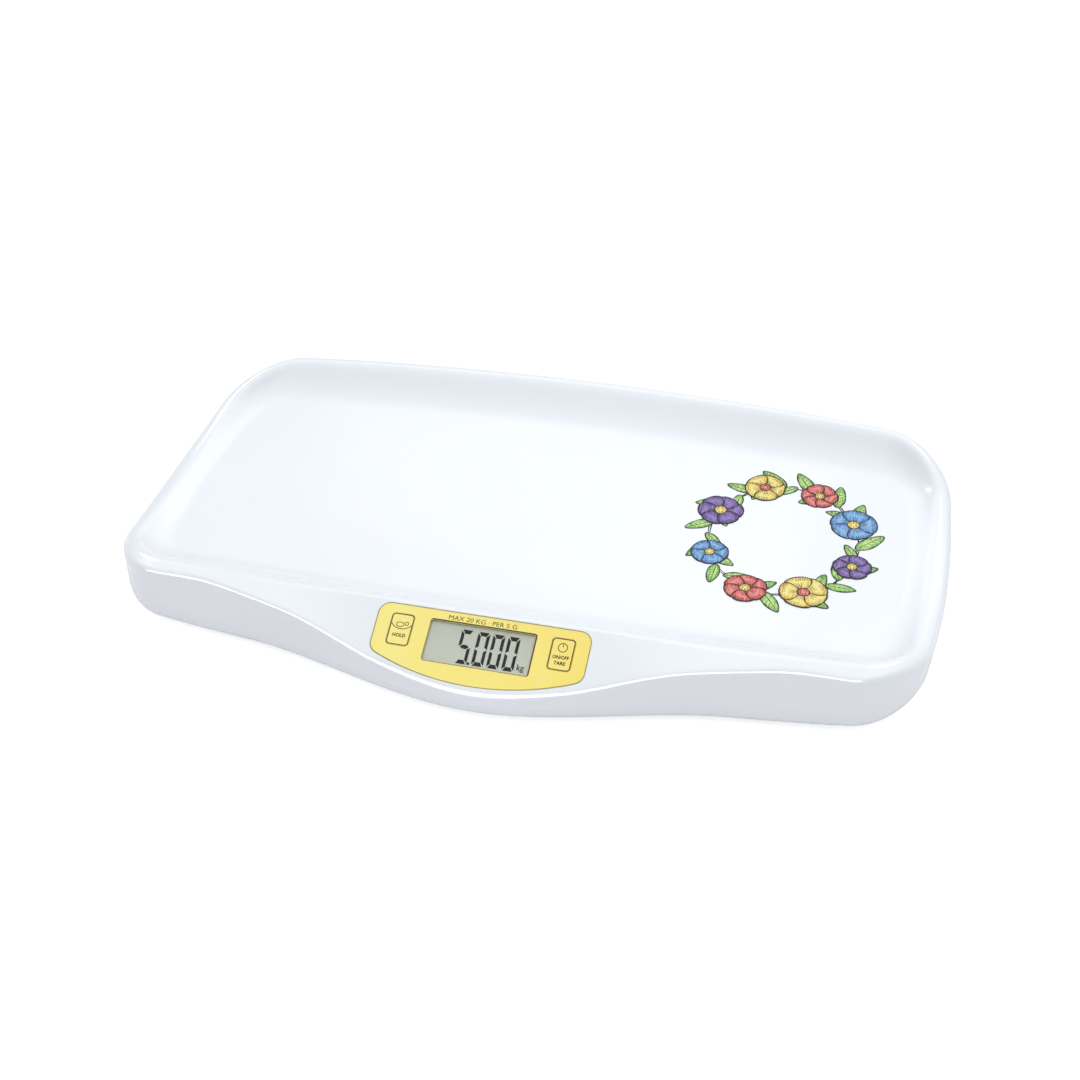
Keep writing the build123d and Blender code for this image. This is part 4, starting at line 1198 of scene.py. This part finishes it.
class SCALE_OT_keys(bpy.types.Operator):
    """Finish the two keys and make their printed frames, symbols and words"""
    bl_idname = "scale.keys"
    bl_label = "Keys"

    def execute(self, context):
        own = settings()
        panel = PanelForm(own.panel, BodyForm(own.body))
        ink = printed_ink("key_ink", own.colours.segments, 2.5)
        yellow = bpy.data.materials["yellow_film"]
        low, high = panel.ink_low, panel.ink_high
        # Each word with its place on the key and its width in millimetres
        words = {"hold": (("HOLD", -24.9, 8.4),),
                 "power": (("ON/OFF", -22.9, 10.4), ("TARE", -26.8, 7.4))}
        symbols = {"hold": self.tray_symbol, "power": self.power_symbol}
        for side, name in ((-1, "hold"), (1, "power")):
            dress(yellow, f"{name}_key")
            x = side * panel.key_x
            frame_lines = [panel.key(side, -inset)
                           for inset in (panel.key_inset, panel.key_inset + panel.key_line)]
            meshes = [flat_mesh("frame", frame_lines, low, high), *symbols[name](x, low, high)]
            for text, y, width in words[name]:
                meshes.append(words_mesh("word", text, panel.word_height, (x, y * MM), low, high,
                                         width * MM, panel.word_weight))
            panel.add(f"{name}_key_print", join_meshes(f"{name}_key_print", meshes), ink,
                      body=f"{name}_key")
        return {"FINISHED"}

    def tray_symbol(self, x, low, high):
        """A bundle lying on a shallow tray."""
        y = -17.6 * MM
        line = 0.45 * MM
        bundle = [ellipse(x - 0.9 * MM, y + 1.0 * MM, 2.6 * MM - inset, 1.8 * MM - inset, 32)
                  for inset in (0, line)]
        knob = [ellipse(x + 3.2 * MM, y + 1.9 * MM, 1.35 * MM - inset, 1.35 * MM - inset, 24)
                for inset in (0, line)]
        outer = arc(x, y + 6.2 * MM, 8.4 * MM, radians(-142), radians(-38), 20)
        inner = arc(x, y + 6.2 * MM, 7.9 * MM, radians(-38), radians(-142), 20)
        return [flat_mesh("bundle", bundle, low, high), flat_mesh("knob", knob, low, high),
                flat_mesh("bowl", [outer + inner], low, high)]

    def power_symbol(self, x, low, high):
        """A ring with a bar at its top."""
        y = -15.4 * MM
        circle = [ellipse(x, y, radius, radius, 40) for radius in (3.1 * MM, 2.6 * MM)]
        bar = rounded_box(x, y + 1.35 * MM, 0.5 * MM, 2.1 * MM, 0.15 * MM, 3)
        return [flat_mesh("ring", circle, low, high), flat_mesh("bar", [bar], low, high)]


class SCALE_OT_print(bpy.types.Operator):
    """Draw the wreath of leaves and flowers on the tray"""
    bl_idname = "scale.tray_print"
    bl_label = "Tray print"

    def execute(self, context):
        own = settings()
        tray = bpy.data.objects.get("tray_shell")
        if tray is None:
            raise RuntimeError("the tray shell comes first")
        print_ = TrayPrint(tray)
        draw = random.Random(own.wreath.seed)
        wreath = own.wreath
        line = wreath.ink_line

        def on_ring(turn, out=0.0):
            return (wreath.place[0] + (wreath.half_width + out) * cos(turn),
                    wreath.place[1] + (wreath.half_depth + out) * sin(turn))

        # Two twigs wind round each other.
        twig_points, waves = 120, 7
        turns = [2 * pi * i / twig_points for i in range(twig_points)]
        for shift, wave in ((0.0, 0.9 * MM), (1.4, 1.3 * MM)):
            twig = [on_ring(turn, wave * sin(waves * turn + shift)) for turn in turns]
            print_.line(twig, line * 0.9, closed=True)
        # The leaves lean by turns out of the ring and into it.
        for i in range(wreath.leaves):
            turn = 2 * pi * (i + 0.3 * draw.random()) / wreath.leaves
            side, share_of_length = ((-1, 1.0), (1, 0.85))[i % 2]
            lean = side * radians(38 + 14 * draw.random())
            length = share_of_length * (19 + 6 * draw.random()) * MM
            draw_leaf(print_, draw, on_ring(turn, side * MM), turn + pi / 2 + lean, length,
                      length * 0.42, line)
        names = ("blue", "red", "gold", "purple")
        radii = (15.2 * MM, 12.4 * MM, 13.8 * MM)
        for k in range(wreath.flowers):
            turn = 2 * pi * (k + 0.18 * draw.random()) / wreath.flowers + 0.35
            place = on_ring(turn, (2.5 * draw.random() - 1.2) * MM)
            draw_flower(print_, draw, names[k % len(names)], place, radii[k % len(radii)],
                        5 + k % 2, 2 * pi * draw.random(), line)
        for name, mesh in print_.meshes():
            if name == "ink":
                finish = printed_ink("drawing_ink", own.colours.ink, 2.2)
            else:
                finish = pencil_colour(f"pencil_{name}", getattr(own.colours, name),
                                       getattr(own.colours, f"light_{name}"))
            add_piece(f"print_{name}", mesh, finish)
        return {"FINISHED"}


class SCALE_OT_underside(bpy.types.Operator):
    """Finish the base plate, the battery door, the button, the screws and the feet"""
    bl_idname = "scale.underside"
    bl_label = "Underside and feet"

    def execute(self, context):
        colours = settings().colours
        base = moulded_plastic("satin_white_plastic", tint(colours.white, 0.97), 0.38,
                               ripple=0.04 * MM, texture=0.02 * MM)
        door = moulded_plastic("door_plastic", colours.door, 0.45,
                               ripple=0.03 * MM, texture=0.03 * MM)
        foot = moulded_plastic("foot_plastic", colours.foot, 0.42,
                               ripple=0.03 * MM, texture=0.02 * MM, fleck=0.93)
        steel = sheet_metal("zinc_steel", (0.62, 0.63, 0.65), 0.32)
        dress(base, "base_plate")
        dress(door, "battery_door")
        dress(foot, "unit_button", *four("foot"))
        dress(rubber("grey_rubber", (0.075, 0.078, 0.082)), "lcd_connector", *four("foot_pad"))
        dress(steel, "housing_screws", "board_screws", *four("load_cell"))
        return {"FINISHED"}


class SCALE_OT_inside(bpy.types.Operator):
    """Finish the boards, cells, contacts and leads inside the body"""
    bl_idname = "scale.inside"
    bl_label = "Inside"

    def execute(self, context):
        stems = [f"{name}_switch_stem" for name in ("hold", "power", "unit")]
        cell_leads = [f"{side}_{end}_lead" for side in ("left", "right") for end in ("front", "back")]
        # Name, colour, roughness, ripple and texture in millimetres, fleck, nodes
        plastics = (
            ("black_plastic", (0.02, 0.02, 0.022), 0.4, 0.02, 0.02, 0.97,
             ["lcd_frame", "tact_switches", "unit_switch", "board_components", *stems]),
            ("grey_lead", (0.35, 0.355, 0.36), 0.42, 0.02, 0.01, 0.9, cell_leads),
            ("cast_epoxy", (0.012, 0.012, 0.013), 0.25, 0.1, 0.02, 0.97, ["controller_chip"]),
            ("socket_plastic", (0.78, 0.76, 0.66), 0.4, 0.02, 0.01, 0.97, ["lead_sockets"]),
            ("gauge_silicone", (0.70, 0.70, 0.66), 0.55, 0.3, 0.05, 0.97, ["strain_gauges"]),
            ("black_lead", (0.015, 0.015, 0.015), 0.4, 0.02, 0.01, 0.97, ["battery_lead_black"]),
            ("red_lead", (0.45, 0.02, 0.015), 0.4, 0.02, 0.01, 0.97, ["battery_lead_red"]),
        )
        for name, rgb, roughness, ripple, texture, fleck, nodes in plastics:
            dress(moulded_plastic(name, rgb, roughness, ripple * MM, texture * MM, fleck=fleck),
                  *nodes)
        dress(sheet_metal("nickel_contact", (0.70, 0.68, 0.63), 0.22),
              "battery_springs", "battery_contacts")
        dress(circuit_board("green_board", (0.02, 0.16, 0.05)), "main_board", "unit_board")
        dress(cell_sleeve("cell_sleeve", (0.05, 0.12, 0.30)), *four("battery"))
        return {"FINISHED"}


class SCALE_OT_studio(bpy.types.Operator):
    """Set up the floor, the room's light, the lamps and the camera"""
    bl_idname = "scale.studio"
    bl_label = "Studio"

    def execute(self, context):
        own = settings().studio
        scene = bpy.context.scene
        scene.view_settings.view_transform = "Standard"
        camera = bpy.data.objects.new("camera", bpy.data.cameras.new("camera"))
        scene.collection.objects.link(camera)
        camera.data.sensor_width = 36.0
        camera.data.lens = own.camera_lens
        camera.data.clip_start, camera.data.clip_end = 0.05, 60.0
        camera.location = own.camera_place
        camera.rotation_euler = Euler(own.camera_turn)
        scene.camera = camera
        self.make_floor(own)
        self.make_sky(own)
        # Name, place, width, depth, power
        for lamp in (
                ("strip_lamp", (-0.30, -1.35, 0.95), 2.6, 0.6, own.strip),
                ("back_lamp", (-0.53, 2.13, 2.05), 1.2, 0.95, own.back),
                ("left_lamp", (-1.80, 1.62, 1.76), 0.35, 0.8, own.side),
                ("right_lamp", (0.85, 2.20, 1.85), 0.35, 0.8, own.side)):
            self.make_lamp(*lamp)
        return {"FINISHED"}

    def make_floor(self, own):
        """A pale floor that stays white where it is seen and takes the scale's shadow."""
        half_size, below_pads = 9.0, 0.02 * MM
        work = bmesh.new()
        bmesh.ops.create_grid(work, x_segments=8, y_segments=8, size=half_size)
        mesh = bpy.data.meshes.new("floor")
        work.to_mesh(mesh)
        work.free()
        floor = bpy.data.objects.new("floor", mesh)
        floor.location.z = -below_pads
        bpy.context.scene.collection.objects.link(floor)
        made = Finish("pale_floor", roughness=0.9, specular=0.0)
        cloud = made.grain(0.5, 2.0)
        made.paint(made.blend(made.spread(cloud, 0, 1), (0.90, 0.90, 0.90), (0.93, 0.93, 0.93)))
        path = made.node("ShaderNodeLightPath")
        seen = made.maths("MAXIMUM", path.outputs["Is Camera Ray"],
                          path.outputs["Is Transmission Ray"])
        strength = made.maths("MULTIPLY", seen, own.floor_glow)
        glow = made.node("ShaderNodeEmission", [("Color", (1, 1, 1, 1)), ("Strength", strength)])
        both = made.node("ShaderNodeAddShader", [(0, made.shader.outputs[0]), (1, glow.outputs[0])])
        made.tree.links.new(both.outputs[0], made.output.inputs["Surface"])
        mesh.materials.append(made.material)

    def make_sky(self, own):
        """Soft light, brightest from one place above and darker towards the scale's ends."""
        world = bpy.data.worlds.new("room")
        bpy.context.scene.world = world
        world.use_nodes = True
        tree = world.node_tree
        tree.nodes.clear()
        way = add_node(tree, "ShaderNodeTexCoord").outputs["Generated"]
        toward = add_node(tree, "ShaderNodeVectorMath", operation="DOT_PRODUCT", inputs=[
            (0, way), (1, Vector(own.sky_place).normalized())])
        sides = add_node(tree, "ShaderNodeVectorMath", operation="MULTIPLY", inputs=[
            (0, way), (1, (own.sky_sides, 0, 0))])
        less = add_node(tree, "ShaderNodeVectorMath", operation="DOT_PRODUCT", inputs=[
            (0, sides.outputs["Vector"]), (1, way)])
        beside = add_node(tree, "ShaderNodeMath", operation="SUBTRACT", inputs=[
            (0, toward.outputs["Value"]), (1, less.outputs["Value"])])
        fall = add_node(tree, "ShaderNodeMapRange", interpolation_type="SMOOTHSTEP", inputs=[
            ("Value", beside.outputs[0]), ("From Min", 0.1), ("From Max", 1.0),
            ("To Min", own.sky), ("To Max", own.sky_bright)])
        light = add_node(tree, "ShaderNodeBackground", [
            ("Color", (0.95, 0.975, 1.0, 1.0)), ("Strength", fall.outputs["Result"])])
        white = add_node(tree, "ShaderNodeBackground", [("Color", (1, 1, 1, 1)), ("Strength", 1.0)])
        seen = add_node(tree, "ShaderNodeLightPath").outputs["Is Camera Ray"]
        mix = add_node(tree, "ShaderNodeMixShader", [
            (0, seen), (1, light.outputs[0]), (2, white.outputs[0])])
        add_node(tree, "ShaderNodeOutputWorld", [("Surface", mix.outputs[0])])

    def make_lamp(self, name, place, width, depth, power):
        """A lamp that faces the scale and shows only in its gloss."""
        lamp = bpy.data.objects.new(name, bpy.data.lights.new(name, "AREA"))
        lamp.data.energy = power
        lamp.data.shape = "RECTANGLE"
        lamp.data.size, lamp.data.size_y = width, depth
        lamp.location = place
        lamp.rotation_euler = (-Vector(place)).to_track_quat("-Z", "Y").to_euler()
        lamp.visible_diffuse = False
        bpy.context.scene.collection.objects.link(lamp)


class SCALE_PT_builder(bpy.types.Panel):
    """Lists what dresses the scale, and its sizes and colours"""
    bl_label = "Weighing scale"
    bl_idname = "SCALE_PT_builder"
    bl_space_type = "VIEW_3D"
    bl_region_type = "UI"
    bl_category = "Scale"

    def draw(self, context):
        own = settings()
        for operator in OPERATORS:
            self.layout.operator(operator.bl_idname)
        for name in ("body", "panel", "wreath", "colours", "studio"):
            box = self.layout.box()
            box.label(text=name.capitalize())
            group = getattr(own, name)
            for key in type(group).__annotations__:
                box.prop(group, key)


GROUPS = (BodySizes, PanelSizes, PrintSizes, ScaleColours, StudioSettings, ScaleSettings)
OPERATORS = (SCALE_OT_studio, SCALE_OT_tray, SCALE_OT_panel, SCALE_OT_display, SCALE_OT_keys,
             SCALE_OT_print, SCALE_OT_underside, SCALE_OT_inside)


def register():
    for made in (*GROUPS, *OPERATORS, SCALE_PT_builder):
        bpy.utils.register_class(made)
    bpy.types.Scene.weighing_scale = PointerProperty(type=ScaleSettings)


def unregister():
    del bpy.types.Scene.weighing_scale
    for made in (SCALE_PT_builder, *OPERATORS[::-1], *GROUPS[::-1]):
        bpy.utils.unregister_class(made)


def main():
    register()
    bpy.ops.scale.studio()
    bpy.ops.scale.tray()
    bpy.ops.scale.panel()
    bpy.ops.scale.display()
    bpy.ops.scale.keys()
    bpy.ops.scale.tray_print()
    bpy.ops.scale.underside()
    bpy.ops.scale.inside()


if __name__ == "__main__":
    main()
